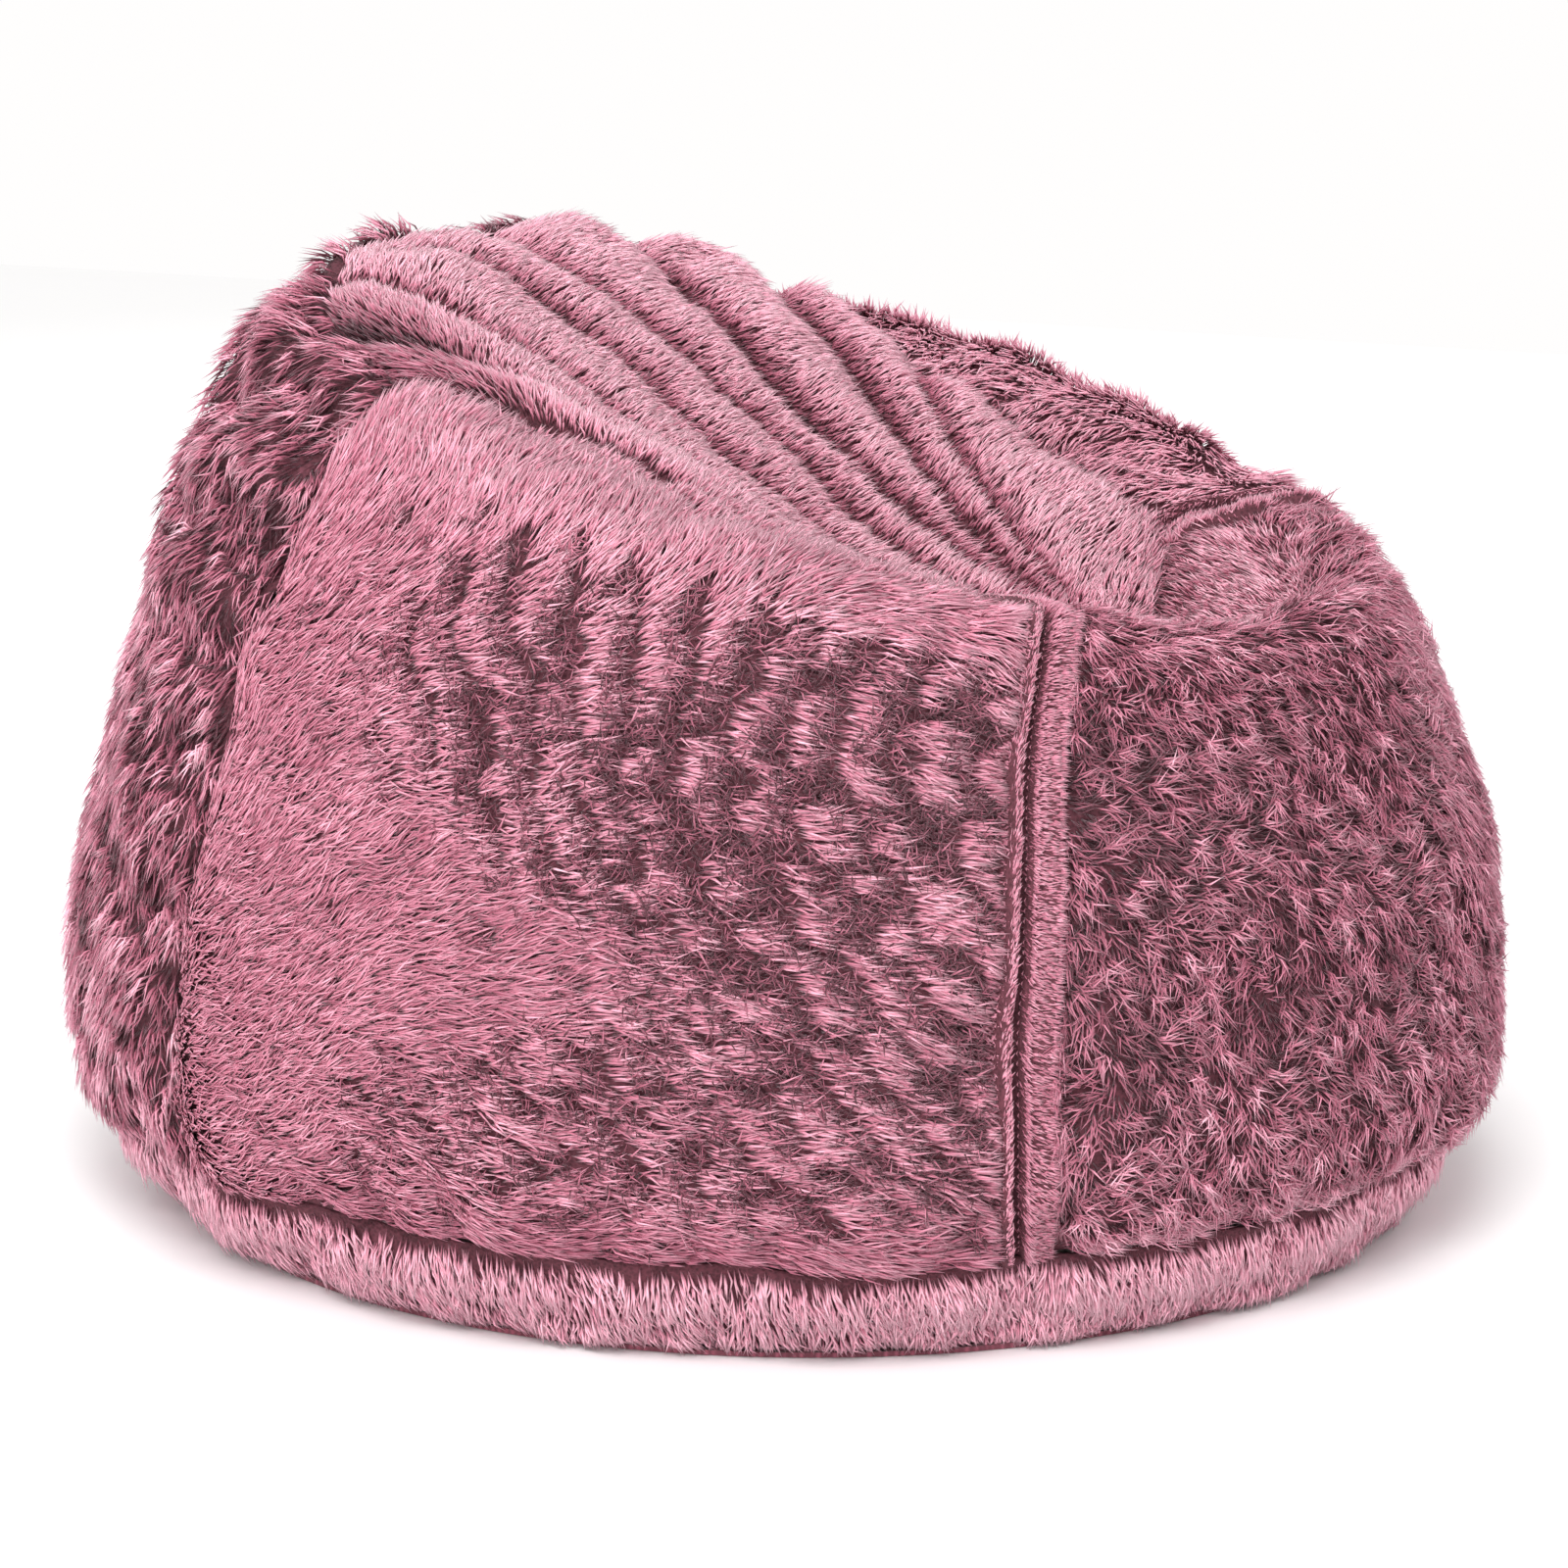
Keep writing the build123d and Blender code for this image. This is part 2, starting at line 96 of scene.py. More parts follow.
def spline_weights(t, count, level_end):
    """Weight of each oval at place t: a cubic spline that is unbent at its start, and level or unbent at its
    end. Its bends b solve b[i-1] + 4 b[i] + b[i+1] = 6 * (second difference of the ovals at i)."""
    a, b = np.zeros((count, count)), np.zeros((count, count))
    for i in range(1, count - 1):
        a[i, i - 1:i + 2] = 1, 4, 1
        b[i, i - 1:i + 2] = 6, -12, 6
    a[0, 0] = a[-1, -1] = 1
    if level_end:
        a[-1, -2:], b[-1, -2:] = (1, 2), (6, -6)
    bend, unit_rows = np.linalg.solve(a, b), np.eye(count)
    k = np.clip(np.floor(t).astype(int), 0, count - 2)
    u = (t - k)[..., None]
    flat = (1 - u) * unit_rows[k] + u * unit_rows[k + 1]
    return flat + ((1 - u) ** 3 - (1 - u)) / 6 * bend[k] + (u**3 - u) / 6 * bend[k + 1]


def wall_point(angle, t):
    """Point of the wall at an angle from straight ahead; t runs from 0 at the hem to 5 at the crest."""
    reach, height = zip(*(oval_at(oval, angle) for oval in OVALS))
    r = (spline_weights(t, len(OVALS), False) * np.stack(reach, -1)).sum(-1)
    z = (spline_weights(t, len(OVALS), True) * np.stack(height, -1)).sum(-1)
    return np.stack([r * np.sin(angle), PIT_Y - r * np.cos(angle), z], -1)


def hollow_point(x, y):
    """Point of the seat hollow: height is pit + (crest - pit) * (3q^2 - 2q^3), q the share of the way out."""
    reach, height = oval_at(CREST, np.arctan2(x, PIT_Y - y))
    q = np.clip(np.hypot(x, y - PIT_Y) / reach, 0, 1)
    return np.stack([x, y, PIT_Z + (height - PIT_Z) * q * q * (3 - 2 * q)], -1)


def crest_plan(angle):
    """X and Y of the crest: the pit's axis plus the crest oval's distance in this direction."""
    reach, _ = oval_at(CREST, angle)
    return reach * np.sin(angle), PIT_Y - reach * np.cos(angle)


back_crest = wall_point(np.array([math.pi]), np.array([float(AT_CREST)]))
print("wall of", len(OVALS), "ovals; crest of the back", np.round(back_crest, 3))


# %% [markdown]
# ## Panels as grids
# Every panel is one grid of points. Its columns climb the wall and run on over the rim to the seam inside the
# hollow, so the cloth is continuous over the rim, as it is on the real chair. The rows of a column are spread
# evenly over its length. A panel on the sitter's right is the left one mirrored in X, with its columns turned
# round so that its faces still point outwards.

# %% Panel grids


def unit(v):
    """Vectors divided by their own length."""
    return v / np.maximum(np.linalg.norm(v, axis=-1, keepdims=True), 1e-12)


OVAL_SPACING = 0.090


def over_the_rim(angles, end_x, end_y, rows):
    """Columns climb the wall at these angles, then run straight in plan to the end points in the hollow. s
    counts the ovals passed, and past the crest it goes on by one for each oval's usual spacing."""
    crest_x, crest_y = crest_plan(angles)
    inner = np.hypot(end_x - crest_x, end_y - crest_y) / OVAL_SPACING
    s = AT_SEAM + np.linspace(0, 1, rows)[:, None] * (AT_CREST - AT_SEAM + inner)
    t = np.minimum(s, AT_CREST)
    share = np.clip((s - AT_CREST) / np.maximum(inner, 1e-9), 0, 1)
    x = crest_x + share * (end_x - crest_x)
    y = crest_y + share * (end_y - crest_y)
    inside = (s > AT_CREST)[..., None]
    angle = np.broadcast_to(angles, t.shape)
    return np.where(inside, hollow_point(x, y), wall_point(angle, t)), s


def front_seat_seam(share):
    """Plan of the seam between seat and front panel, share -1 to 1, bowed to the front."""
    return JUNCTION_X * share, JUNCTION_Y - SEAM_SAG * (1 - share**2)


SEAM_STEPS = np.array([1.5, 3, 5, 7, 9, 12, 16, 20, 24, 27, 31]) / 1000
FRONT_WIDTH, SIDE_WIDTH = 1.19, 0.51


def columns_of(count, width, at_start, at_end):
    """Shares 0 to 1 for a panel's columns: even ones, and closer ones next to a seam that has a strip."""
    even = np.linspace(0, 1, count)
    extra = SEAM_STEPS / width
    near = [extra] * at_start + [1 - extra] * at_end
    kept = even[(even > extra[-1] * at_start) & (even < 1 - extra[-1] * at_end)]
    return np.unique(np.concatenate([kept, [0, 1], *near]))


def front_grid(rows=90, columns=104):
    """Columns from the right front seam round to the left one, over the lip to the seat's seam."""
    share = columns_of(columns, FRONT_WIDTH, True, True)
    angles = FRONT_SEAM * (2 * share - 1)
    return *over_the_rim(angles, *front_seat_seam(2 * share - 1), rows), share


def left_side_grid(rows=90, columns=50):
    """Columns from the front seam to the back seam; inside they end on the line from the junction of the
    seams to the corner of the back panel."""
    share = columns_of(columns, SIDE_WIDTH, True, False)
    corner_x, corner_y = crest_plan(np.array(BACK_SEAM))
    end_x = JUNCTION_X + share * (corner_x - JUNCTION_X)
    end_y = JUNCTION_Y + share * (corner_y - JUNCTION_Y)
    return *over_the_rim(FRONT_SEAM + share * (BACK_SEAM - FRONT_SEAM), end_x, end_y, rows), share


def right_side_grid():
    """The left grid with X negated and its columns turned round."""
    points, s, share = left_side_grid()
    return points[:, ::-1] * np.array([-1, 1, 1]), s[:, ::-1], 1 - share[::-1]


def wall_grid(heights, angles, share):
    """Grid of wall points: one row for each height in ovals, one column for each angle."""
    t, angle = np.meshgrid(heights, angles, indexing="ij")
    return wall_point(angle, t), t, share


def back_grid(rows=70, columns=80):
    """Wall between the two back seams, from the band's seam to the crest."""
    share = np.linspace(0, 1, columns)
    angles = BACK_SEAM + share * (2 * math.pi - 2 * BACK_SEAM)
    return wall_grid(np.linspace(AT_SEAM, AT_CREST, rows), angles, share)


def seat_grid(rows=90, columns=130):
    """Rows run across the hollow, from the front seam back to the crest of the backrest."""
    share = np.linspace(0, 1, columns)
    front_x, front_y = front_seat_seam(2 * share - 1)
    back_x, back_y = crest_plan(2 * math.pi - BACK_SEAM + share * (2 * BACK_SEAM - 2 * math.pi))
    v = np.linspace(0, 1, rows)[:, None]
    x, y = (1 - v) * front_x + v * back_x, (1 - v) * front_y + v * back_y
    return hollow_point(x, y), np.broadcast_to(v, x.shape), share


def band_grid(start, end, rows=10, columns=110):
    """Wall below the band's seam, between two angles in degrees."""
    share = np.linspace(0, 1, columns)
    return wall_grid(np.linspace(0, AT_SEAM, rows), np.radians(start + share * (end - start)), share)


def grid_normals(points):
    """Outward direction: the cross product of the grid's own two directions."""
    return unit(np.cross(np.gradient(points, axis=1), np.gradient(points, axis=0)))


def border_distance(points):
    """Distance of each grid point from its left, right, lower and upper border, along the grid lines."""
    steps = [np.linalg.norm(np.diff(points, axis=axis), axis=-1) for axis in (0, 1)]
    up = np.pad(np.cumsum(steps[0], axis=0), ((1, 0), (0, 0)))
    along = np.pad(np.cumsum(steps[1], axis=1), ((0, 0), (1, 0)))
    return along, along[:, -1:] - along, up, up[-1:] - up


grids = {
    "front_panel": front_grid(),
    "side_panel_right": right_side_grid(),
    "side_panel_left": left_side_grid(),
    "back_panel": back_grid(),
    "seat_panel": seat_grid(),
    "base_band_front": band_grid(-90, 90),
    "base_band_back": band_grid(90, 270),
}
away = {panel: border_distance(points) for panel, (points, _, _) in grids.items()}
print("grids", {panel: points.shape[:2] for panel, (points, _, _) in grids.items()})


# %% [markdown]
# ## Soft unevenness
# Filled cloth is never quite even. A noise texture could push the surface, but the pile must sit on the pushed
# cloth, so the script needs the numbers. A few plane waves in seeded random directions, added up, give a smooth
# field that is the same on every run.

# %% Waves


def waves(points, size, seed, count=9):
    """Smooth field between about -1 and 1: the mean of sines of (direction . place / size + phase)."""
    rng = np.random.default_rng(seed)
    direction = unit(rng.normal(size=(count, 3))) * rng.uniform(0.7, 1.5, (count, 1)) * 2 * math.pi / size
    phase = rng.uniform(0, 2 * math.pi, count)
    return np.sin(points @ direction.T + phase).sum(-1) / math.sqrt(count)


def smooth(x, low, high):
    """0 below low, 1 above high, and 3q^2 - 2q^3 between."""
    q = np.clip((x - low) / (high - low), 0, 1)
    return q * q * (3 - 2 * q)


def mixed(share, inside, outside):
    """Share of the first value and the rest of the second."""
    return inside * share + outside * (1 - share)


print("spread of the smooth field", round(float(waves(grids["front_panel"][0], 0.16, 11).std()), 2))

# %% [markdown]
# ## Seams
# Every seam pulls the cloth in. The two seams of the front panel are felled: a narrow welt on the side panel
# and a wide flat strip on the front panel stand up beside the groove. Seams could be cut in as extra edges, but
# the grid is fine enough near them, so a seam is only a height added along the grid's own outward direction.

# %% Seams
STRIP, WELT = (0.006, 0.023), (0.0025, 0.0075)


def seam_pull(points, sides, depth=0.008, width=0.013):
    """Channel at the seams: depth * exp(-(distance / width)^2) for each border that is sewn in."""
    pull = np.zeros(points.shape[:2])
    for distance, share in zip(border_distance(points), sides):
        pull = np.maximum(pull, share * depth * np.exp(-((distance / width) ** 2)))
    return pull


def plateau(x, low, high, ease):
    """1 between low and high, 0 outside, with soft flanks of width ease."""
    return smooth(x, low - ease, low) * (1 - smooth(x, high, high + ease))


def felled_strip(distance):
    """Wide flat strip on the front panel, between two grooves: a plateau less two bell curves."""
    at_seam = 0.006 * np.exp(-((distance / 0.0035) ** 2))
    behind = 0.004 * np.exp(-(((distance - 0.028) / 0.003) ** 2))
    return 0.0065 * plateau(distance, *STRIP, 0.002) - at_seam - behind


def felled_welt(distance):
    """Narrow round welt on the side panel: a plateau less one bell curve at the seam."""
    return 0.0075 * plateau(distance, *WELT, 0.0015) - 0.006 * np.exp(-((distance / 0.0015) ** 2))


print("widths of strip and welt", [f"{1000 * (end - start):.0f} mm" for start, end in (STRIP, WELT)])

# %% [markdown]
# ## Flutes of the seat
# The seat panel is gathered into flutes that fan out from the pit to the crest of the backrest. Waves of one
# width would look like corrugated iron. So each valley is a curve of its own with its own depth, and the cloth
# between two valleys rises slowly from one and drops sharply into the next, as gathered cloth does.

# %% Flutes
# Each valley of the seat: its place across the seat (-1 right to 1 left) at the crest, midway and near the
# pit, and its depth.
VALLEYS = np.array(
    [
        (-0.70, -0.78, -0.84, 0.018),
        (-0.40, -0.44, -0.52, 0.018),
        (-0.10, -0.10, -0.14, 0.020),
        (0.22, 0.16, 0.12, 0.018),
        (0.58, 0.40, 0.30, 0.021),
        (0.93, 0.67, 0.46, 0.019),
        (1.30, 0.92, 0.60, 0.016),
    ]
)


def valley_offsets(u, v):
    """Signed distance, in shares across the seat, from each valley's curve. The curve is Newton's parabola in
    v through the three places, which are at v = 0.3, 0.6 and 1, and it sways a little."""
    for top, middle, low, depth in VALLEYS:
        steeper = (top - middle) / 0.4 - (middle - low) / 0.3
        place = low + (middle - low) * (v - 0.3) / 0.3 + steeper * (v - 0.3) * (v - 0.6) / 0.7
        yield u - place - 0.012 * np.sin(11 * v + 9 * top), depth


def crest_bumps(u):
    """The ends of three flutes stand up over the crest: height * exp(-((u - place) / width)^2) each."""
    bumps = ((0.46, 0.10, 0.008), (0.77, 0.11, 0.013), (1.02, 0.07, 0.014), (-0.15, 0.12, 0.005))
    return sum(height * np.exp(-(((u - place) / width) ** 2)) for place, width, height in bumps)


def flutes(v, u):
    """Each flute rises slowly from the valley before it and drops sharply into the next one."""
    height = np.zeros(np.broadcast(u, v).shape)
    for off, depth in valley_offsets(u, v):
        before = np.exp(np.clip(off, None, 0) / 0.035) * (off <= 0)
        after = np.exp(-((off / 0.085) ** 2)) * (off > 0)
        height = np.minimum(height, -depth * np.maximum(before, after))
    return (height + 0.007) * smooth(v, 0.0, 0.2) + crest_bumps(u) * smooth(v, 0.72, 0.98)


print(len(VALLEYS), "valleys, depths in mm", (1000 * VALLEYS[:, 3]).round().tolist())

# %% [markdown]
# ## Folds of the front, the back and the band
# The front panel has a roll and a crease behind its lip, where the sitter's legs press it. The back panel
# bunches in level folds under the crest, and the seat's flutes run over the crest into it. These folds are few
# and wide, so bell curves and sines say them well. The cloth step later breaks their evenness.

# %% Folds
def front_roll(s, share):
    """A round roll along the lip less a crease behind it, strongest from the middle to the left: bell curves
    in s, each times its reach across the panel."""
    u = 2 * share[None, :] - 1
    reach = smooth(u, -0.80, -0.2) * (1 - 0.6 * smooth(u, 0.6, 1.0))
    crease = np.exp(-(((s - 5.42 - 0.25 * u) / 0.15) ** 2))
    second = np.exp(-(((s - 4.80 + 0.10 * u) / 0.10) ** 2)) * smooth(u, -0.2, 0.3)
    roll = np.exp(-(((s - 5.00) / 0.28) ** 2))
    return reach * (0.007 * roll - 0.009 * crease - 0.003 * second)


def back_bunching(t, share):
    """Level folds that die out downwards, sines of the height with a sway, plus long shallow ones that hang
    from them, sines of the place across, plus the ends of the seat's flutes."""
    u = 2 * share[None, :] - 1
    sway = 0.35 * np.sin(7 * u) + 0.2 * np.sin(17 * u + 1)
    folds = np.sin(2 * math.pi * (1.9 * (AT_CREST - t) + sway))
    level = 0.008 * folds * smooth(t, 3.1, 4.1) * (1 - smooth(t, 4.7, 5.0))
    hanging = 0.003 * np.sin(26 * u + 2 * t) * smooth(t, 2.0, 4.0) * (1 - smooth(t, 4.6, 5.0))
    return level + hanging + flutes(1.0, -u) * smooth(t, 4.3, 5.0)


def hem_roll(t):
    """The band turns out to the edge of the base cloth: its height falls from 6 mm at the hem to nothing."""
    return 0.006 * (1 - smooth(t, 0.0, 0.6))


extra_height = {
    "front_panel": front_roll(*grids["front_panel"][1:])
    + felled_strip(away["front_panel"][0])
    + felled_strip(away["front_panel"][1]),
    "side_panel_right": felled_welt(away["side_panel_right"][1]),
    "side_panel_left": felled_welt(away["side_panel_left"][0]),
    "back_panel": back_bunching(*grids["back_panel"][1:]),
    "seat_panel": flutes(grids["seat_panel"][1], 2 * grids["seat_panel"][2][None, :] - 1),
    "base_band_front": hem_roll(grids["base_band_front"][1]),
    "base_band_back": hem_roll(grids["base_band_back"][1]),
}
for panel, height in extra_height.items():
    print(panel, "is raised by", round(1000 * height.min(), 1), "to", round(1000 * height.max(), 1), "mm")


# %% [markdown]
# ## From arrays to meshes
# Blender can make a mesh from Python lists, point by point, but a quarter of a million locks would take
# minutes. foreach_set copies a whole numpy array at once.

# %% Mesh helpers


def add_mesh(name, points, faces, smooth_faces=True):
    """Mesh object from an array of points and an array of faces that all have the same number of corners."""
    mesh = bpy.data.meshes.new(name)
    mesh.vertices.add(len(points))
    mesh.vertices.foreach_set("co", np.asarray(points, np.float32).ravel())
    corners = faces.shape[1]
    mesh.loops.add(faces.size)
    mesh.loops.foreach_set("vertex_index", faces.astype(np.int32).ravel())
    mesh.polygons.add(len(faces))
    mesh.polygons.foreach_set("loop_start", np.arange(0, faces.size, corners, dtype=np.int32))
    mesh.polygons.foreach_set("use_smooth", np.full(len(faces), smooth_faces))
    mesh.update(calc_edges=True)
    piece = bpy.data.objects.new(name, mesh)
    bpy.context.scene.collection.objects.link(piece)
    return piece


def grid_faces(rows, columns):
    """Four-cornered faces of a grid whose points are numbered row by row, turned outwards."""
    low = np.arange(rows - 1)[:, None] * columns + np.arange(columns - 1)
    return np.stack([low, low + 1, low + columns + 1, low + columns], -1).reshape(-1, 4)


print("a grid of 3 by 3 points has", len(grid_faces(3, 3)), "faces")

# %% [markdown]
# ## Letting the cloth settle
# The beads press on the cover from inside, and cloth that is held at its seams then swells and wrinkles in
# ways that no formula gives. Each panel's sheet is pinned along its seams and put under pressure with Blender's
# cloth for twenty frames. The move of every point is capped, so the panel stays in the space of its CAD solid.

# %% Cloth step
SETTLE_CELL, SETTLE_FRAMES, SETTLE_CAP = 0.024, 20, 0.005
CLOTH_SETTINGS = dict(
    quality=5, mass=0.25, tension_stiffness=12, compression_stiffness=12, shear_stiffness=4,
    bending_stiffness=0.8, use_pressure=True, uniform_pressure_force=4.0, shrink_min=-0.035,
    vertex_group_mass="seams",
)


def nearest(shares, length):
    """Indexes of the shares nearest to even ones, one simulated cell apart."""
    even = np.linspace(0, 1, max(4, round(length / SETTLE_CELL)) + 1)
    return np.unique(np.abs(shares[:, None] - even).argmin(0))


def settle(points, share):
    """The grid after the cloth step: a coarser grid is simulated, and its move is spread back."""
    rows, columns = points.shape[:2]
    down = np.linspace(0, 1, rows)
    lengths = [d.max() for d in border_distance(points)]
    pick_r, pick_c = nearest(down, lengths[2]), nearest(share, lengths[0])
    coarse = points[np.ix_(pick_r, pick_c)]
    shape = coarse.shape[:2]
    piece = add_mesh("settling", coarse.reshape(-1, 3), grid_faces(*shape))
    border = np.zeros(shape, bool)
    border[[0, -1]] = border[:, [0, -1]] = True
    pins = piece.vertex_groups.new(name="seams")
    pins.add(np.flatnonzero(border.ravel()).tolist(), 1.0, "REPLACE")
    cloth = piece.modifiers.new("settle", "CLOTH")
    for key, value in CLOTH_SETTINGS.items():
        setattr(cloth.settings, key, value)
    cloth.settings.effector_weights.gravity = 0
    cloth.collision_settings.use_collision = False
    scene = bpy.context.scene
    for number in range(1, SETTLE_FRAMES + 1):
        scene.frame_set(number)
    shown = piece.evaluated_get(bpy.context.evaluated_depsgraph_get())
    moved = np.zeros(coarse.size, np.float32)
    shown.data.vertices.foreach_get("co", moved)
    move = moved.reshape(coarse.shape) - coarse
    length = np.linalg.norm(move, axis=-1, keepdims=True)
    move *= np.minimum(1, SETTLE_CAP / np.maximum(length, 1e-9))
    print("settled", shape, "points, mean move", round(float(length.mean() * 1000), 1), "mm")
    scene.frame_set(1)
    bpy.data.objects.remove(piece)
    flat = move.reshape(shape[0], -1)
    tall = np.stack([np.interp(down, down[pick_r], column) for column in flat.T], -1).reshape(rows, shape[1], 3)
    wide = tall.transpose(0, 2, 1).reshape(-1, shape[1])
    whole = np.stack([np.interp(share, share[pick_c], row) for row in wide]).reshape(rows, 3, columns)
    return points + whole.transpose(0, 2, 1)


print("cloth step of", SETTLE_FRAMES, "frames; cells of", round(1000 * SETTLE_CELL), "mm")

# %% [markdown]
# ## Helpers for node materials
# A material is a net of nodes. Written out, each node takes five lines, so four helpers make one and wire it in
# a single call: any node, a colour ramp, a bump, and a sum or product.

# %% Node helpers


def new_material(name, **sockets):
    """Material with a Principled shader; keyword names are its sockets with spaces as underscores."""
    material = bpy.data.materials.new(name)
    material.use_nodes = True
    shader = material.node_tree.nodes["Principled BSDF"]
    for key, value in sockets.items():
        shader.inputs[key.replace("_", " ")].default_value = value
    return material, material.node_tree, shader


def node(tree, kind, inputs=(), **settings):
    """New node with its settings; inputs maps a socket to a value or to another node's output."""
    made = tree.nodes.new(kind)
    for key, value in settings.items():
        setattr(made, key, value)
    for key, value in dict(inputs).items():
        if isinstance(value, bpy.types.NodeSocket):
            tree.links.new(value, made.inputs[key])
        else:
            made.inputs[key].default_value = value
    return made


def ramp(tree, fac, stops):
    """Colour ramp over stops of (place, colour)."""
    made = node(tree, "ShaderNodeValToRGB", {"Fac": fac})
    while len(made.color_ramp.elements) < len(stops):
        made.color_ramp.elements.new(0.5)
    for element, (place, colour) in zip(made.color_ramp.elements, stops):
        element.position = place
        element.color = (*colour, 1)
    return made.outputs["Color"]


def bump(tree, shader, height, distance, strength=1.0):
    """Bump of this height pattern, distance metres deep, on the shader."""
    made = node(tree, "ShaderNodeBump", {"Height": height, "Distance": distance, "Strength": strength})
    tree.links.new(made.outputs["Normal"], shader.inputs["Normal"])


def maths(tree, kind, a, b):
    """Output of a Math node: a and b joined by this kind of sum."""
    return node(tree, "ShaderNodeMath", {0: a, 1: b}, operation=kind).outputs[0]


# %% [markdown]
# ## Colour of the fur
# The fur is one dusty rose. It looks deep because each lock's colour runs from dark plum at its root, which is
# painted shade deep in the pile, through rose along its length to pale at its tip, which is painted highlight,
# and because neighbouring locks differ a little. Every lock carries three numbers on its points: how far along
# it a point is, how far across, and a tone that holds both its own random difference and the painted shade and
# painted light of its place on the panel. The material reads them, so the colour follows each lock however it
# lies. A sheen adds the soft light that fine fibres catch.

# %% Fur on the locks
# The root colour is painted shade deep in the pile, and the palest colour is painted highlight on the tips.
ROOT_SHADE, MID, ROSE = (0.070, 0.011, 0.021), (0.43, 0.118, 0.180), (0.63, 0.230, 0.320)
TIP, PALE_HIGHLIGHT = (0.90, 0.430, 0.545), (1.0, 0.575, 0.680)
FIBRES_ACROSS, FIBRES_ALONG, FIBRE_SEED = 7.0, 1.3, 60.0
FIBRE_CONTRAST, TONE_REACH, DEPTH_SCALE = 0.55, 0.95, 0.74


def fur_material():
    """Root to tip colour: dark at the root as painted shade deep in the pile, palest at the tip as painted
    highlight.
    The place on the ramp is along + contrast * (noise - 1/2) + reach * (tone and shading - 1/2), all times a
    scale;
    the noise is stretched along the lock, so it draws fine fibres."""
    material, tree, shader = new_material("rose_pile", Roughness=0.62, Specular_IOR_Level=0.22)
    shader.inputs["Sheen Weight"].default_value = 0.35
    shader.inputs["Sheen Roughness"].default_value = 0.45
    shader.inputs["Sheen Tint"].default_value = (1.0, 0.78, 0.84, 1)
    along = node(tree, "ShaderNodeAttribute", attribute_name="along").outputs["Fac"]
    across = node(tree, "ShaderNodeAttribute", attribute_name="across").outputs["Fac"]
    tone = node(tree, "ShaderNodeAttribute", attribute_name="tone").outputs["Fac"]
    scales = (across, FIBRES_ACROSS), (along, FIBRES_ALONG), (tone, FIBRE_SEED)
    scaled = [maths(tree, "MULTIPLY", value, scale) for value, scale in scales]
    place = node(tree, "ShaderNodeCombineXYZ", zip("XYZ", scaled)).outputs[0]
    fibres = node(tree, "ShaderNodeTexNoise", {"Vector": place, "Scale": 1.0, "Detail": 2.0, "Roughness": 0.6})
    depth = along
    for value, share in ((fibres.outputs["Fac"], FIBRE_CONTRAST), (tone, TONE_REACH)):
        depth = maths(tree, "ADD", depth, maths(tree, "MULTIPLY", maths(tree, "SUBTRACT", value, 0.5), share))
    stops = [(0.04, ROOT_SHADE), (0.31, MID), (0.53, ROSE), (0.74, TIP), (1.0, PALE_HIGHLIGHT)]
    shade = ramp(tree, maths(tree, "MULTIPLY", depth, DEPTH_SCALE), stops)
    tree.links.new(shade, shader.inputs["Base Color"])
    bump(tree, shader, fibres.outputs["Fac"], 0.0006, 0.5)
    return material


def backing_material():
    """Knitted backing between the roots, with small stitches; its dark plum is painted shade, the colour of the
    gaps between the locks.
    """
    material, tree, shader = new_material("knitted_backing", Roughness=0.9)
    place = node(tree, "ShaderNodeTexCoord").outputs["Object"]
    knit = node(tree, "ShaderNodeTexVoronoi", {"Vector": place, "Scale": 420.0})
    soft = node(tree, "ShaderNodeTexNoise", {"Vector": place, "Scale": 60.0, "Detail": 3.0})
    pattern = maths(tree, "ADD", knit.outputs["Distance"], soft.outputs["Fac"])
    dark = [(0.3, (0.040, 0.008, 0.013)), (1.2, (0.13, 0.032, 0.048))]
    tree.links.new(ramp(tree, maths(tree, "MULTIPLY", pattern, 0.7), dark), shader.inputs["Base Color"])
    bump(tree, shader, knit.outputs["Distance"], 0.0006)
    return material


PILE = fur_material()
BACKING = backing_material()
print("fur materials", PILE.name, BACKING.name)

# %% [markdown]
# ## Cloth, thread, teeth and metal
# The base, the liner, the tapes and the label are woven, and the thread, teeth, slider and beads are smooth.
# One function makes every weave and one every smooth finish, with colours, scale and gloss as their arguments.

# %% Woven and smooth finishes


def woven_material(name, light, dark, threads_per_metre=1400):
    """Plain weave: two crossed waves on the object's X and Y, with slubs from noise."""
    material, tree, shader = new_material(name, Roughness=0.78)
    shader.inputs["Sheen Weight"].default_value = 0.25
    place = node(tree, "ShaderNodeTexCoord").outputs["Object"]
    wave = {"Vector": place, "Scale": threads_per_metre / 20, "Distortion": 0.6}
    warp, weft = (node(tree, "ShaderNodeTexWave", wave, bands_direction=way).outputs["Fac"] for way in "XY")
    weave = maths(tree, "MULTIPLY", warp, weft)
    slubs = node(tree, "ShaderNodeTexNoise", {"Vector": place, "Scale": 35.0, "Detail": 5.0}).outputs["Fac"]
    pattern = maths(tree, "ADD", maths(tree, "MULTIPLY", weave, 0.6), maths(tree, "MULTIPLY", slubs, 0.5))
    tree.links.new(ramp(tree, pattern, [(0.15, dark), (0.75, light)]), shader.inputs["Base Color"])
    bump(tree, shader, weave, 0.0005)
    return material


def moulded_material(name, light, dark, roughness, metallic=0.0):
    """Moulded or die-cast surface: faint mottling, and a fine grain in the bump."""
    material, tree, shader = new_material(name, Roughness=roughness, Metallic=metallic)
    place = node(tree, "ShaderNodeTexCoord").outputs["Object"]
    grain = node(tree, "ShaderNodeTexNoise", {"Vector": place, "Scale": 900.0, "Detail": 4.0})
    tree.links.new(ramp(tree, grain.outputs["Fac"], [(0.3, dark), (0.7, light)]), shader.inputs["Base Color"])
    bump(tree, shader, grain.outputs["Fac"], 0.0001)
    return material


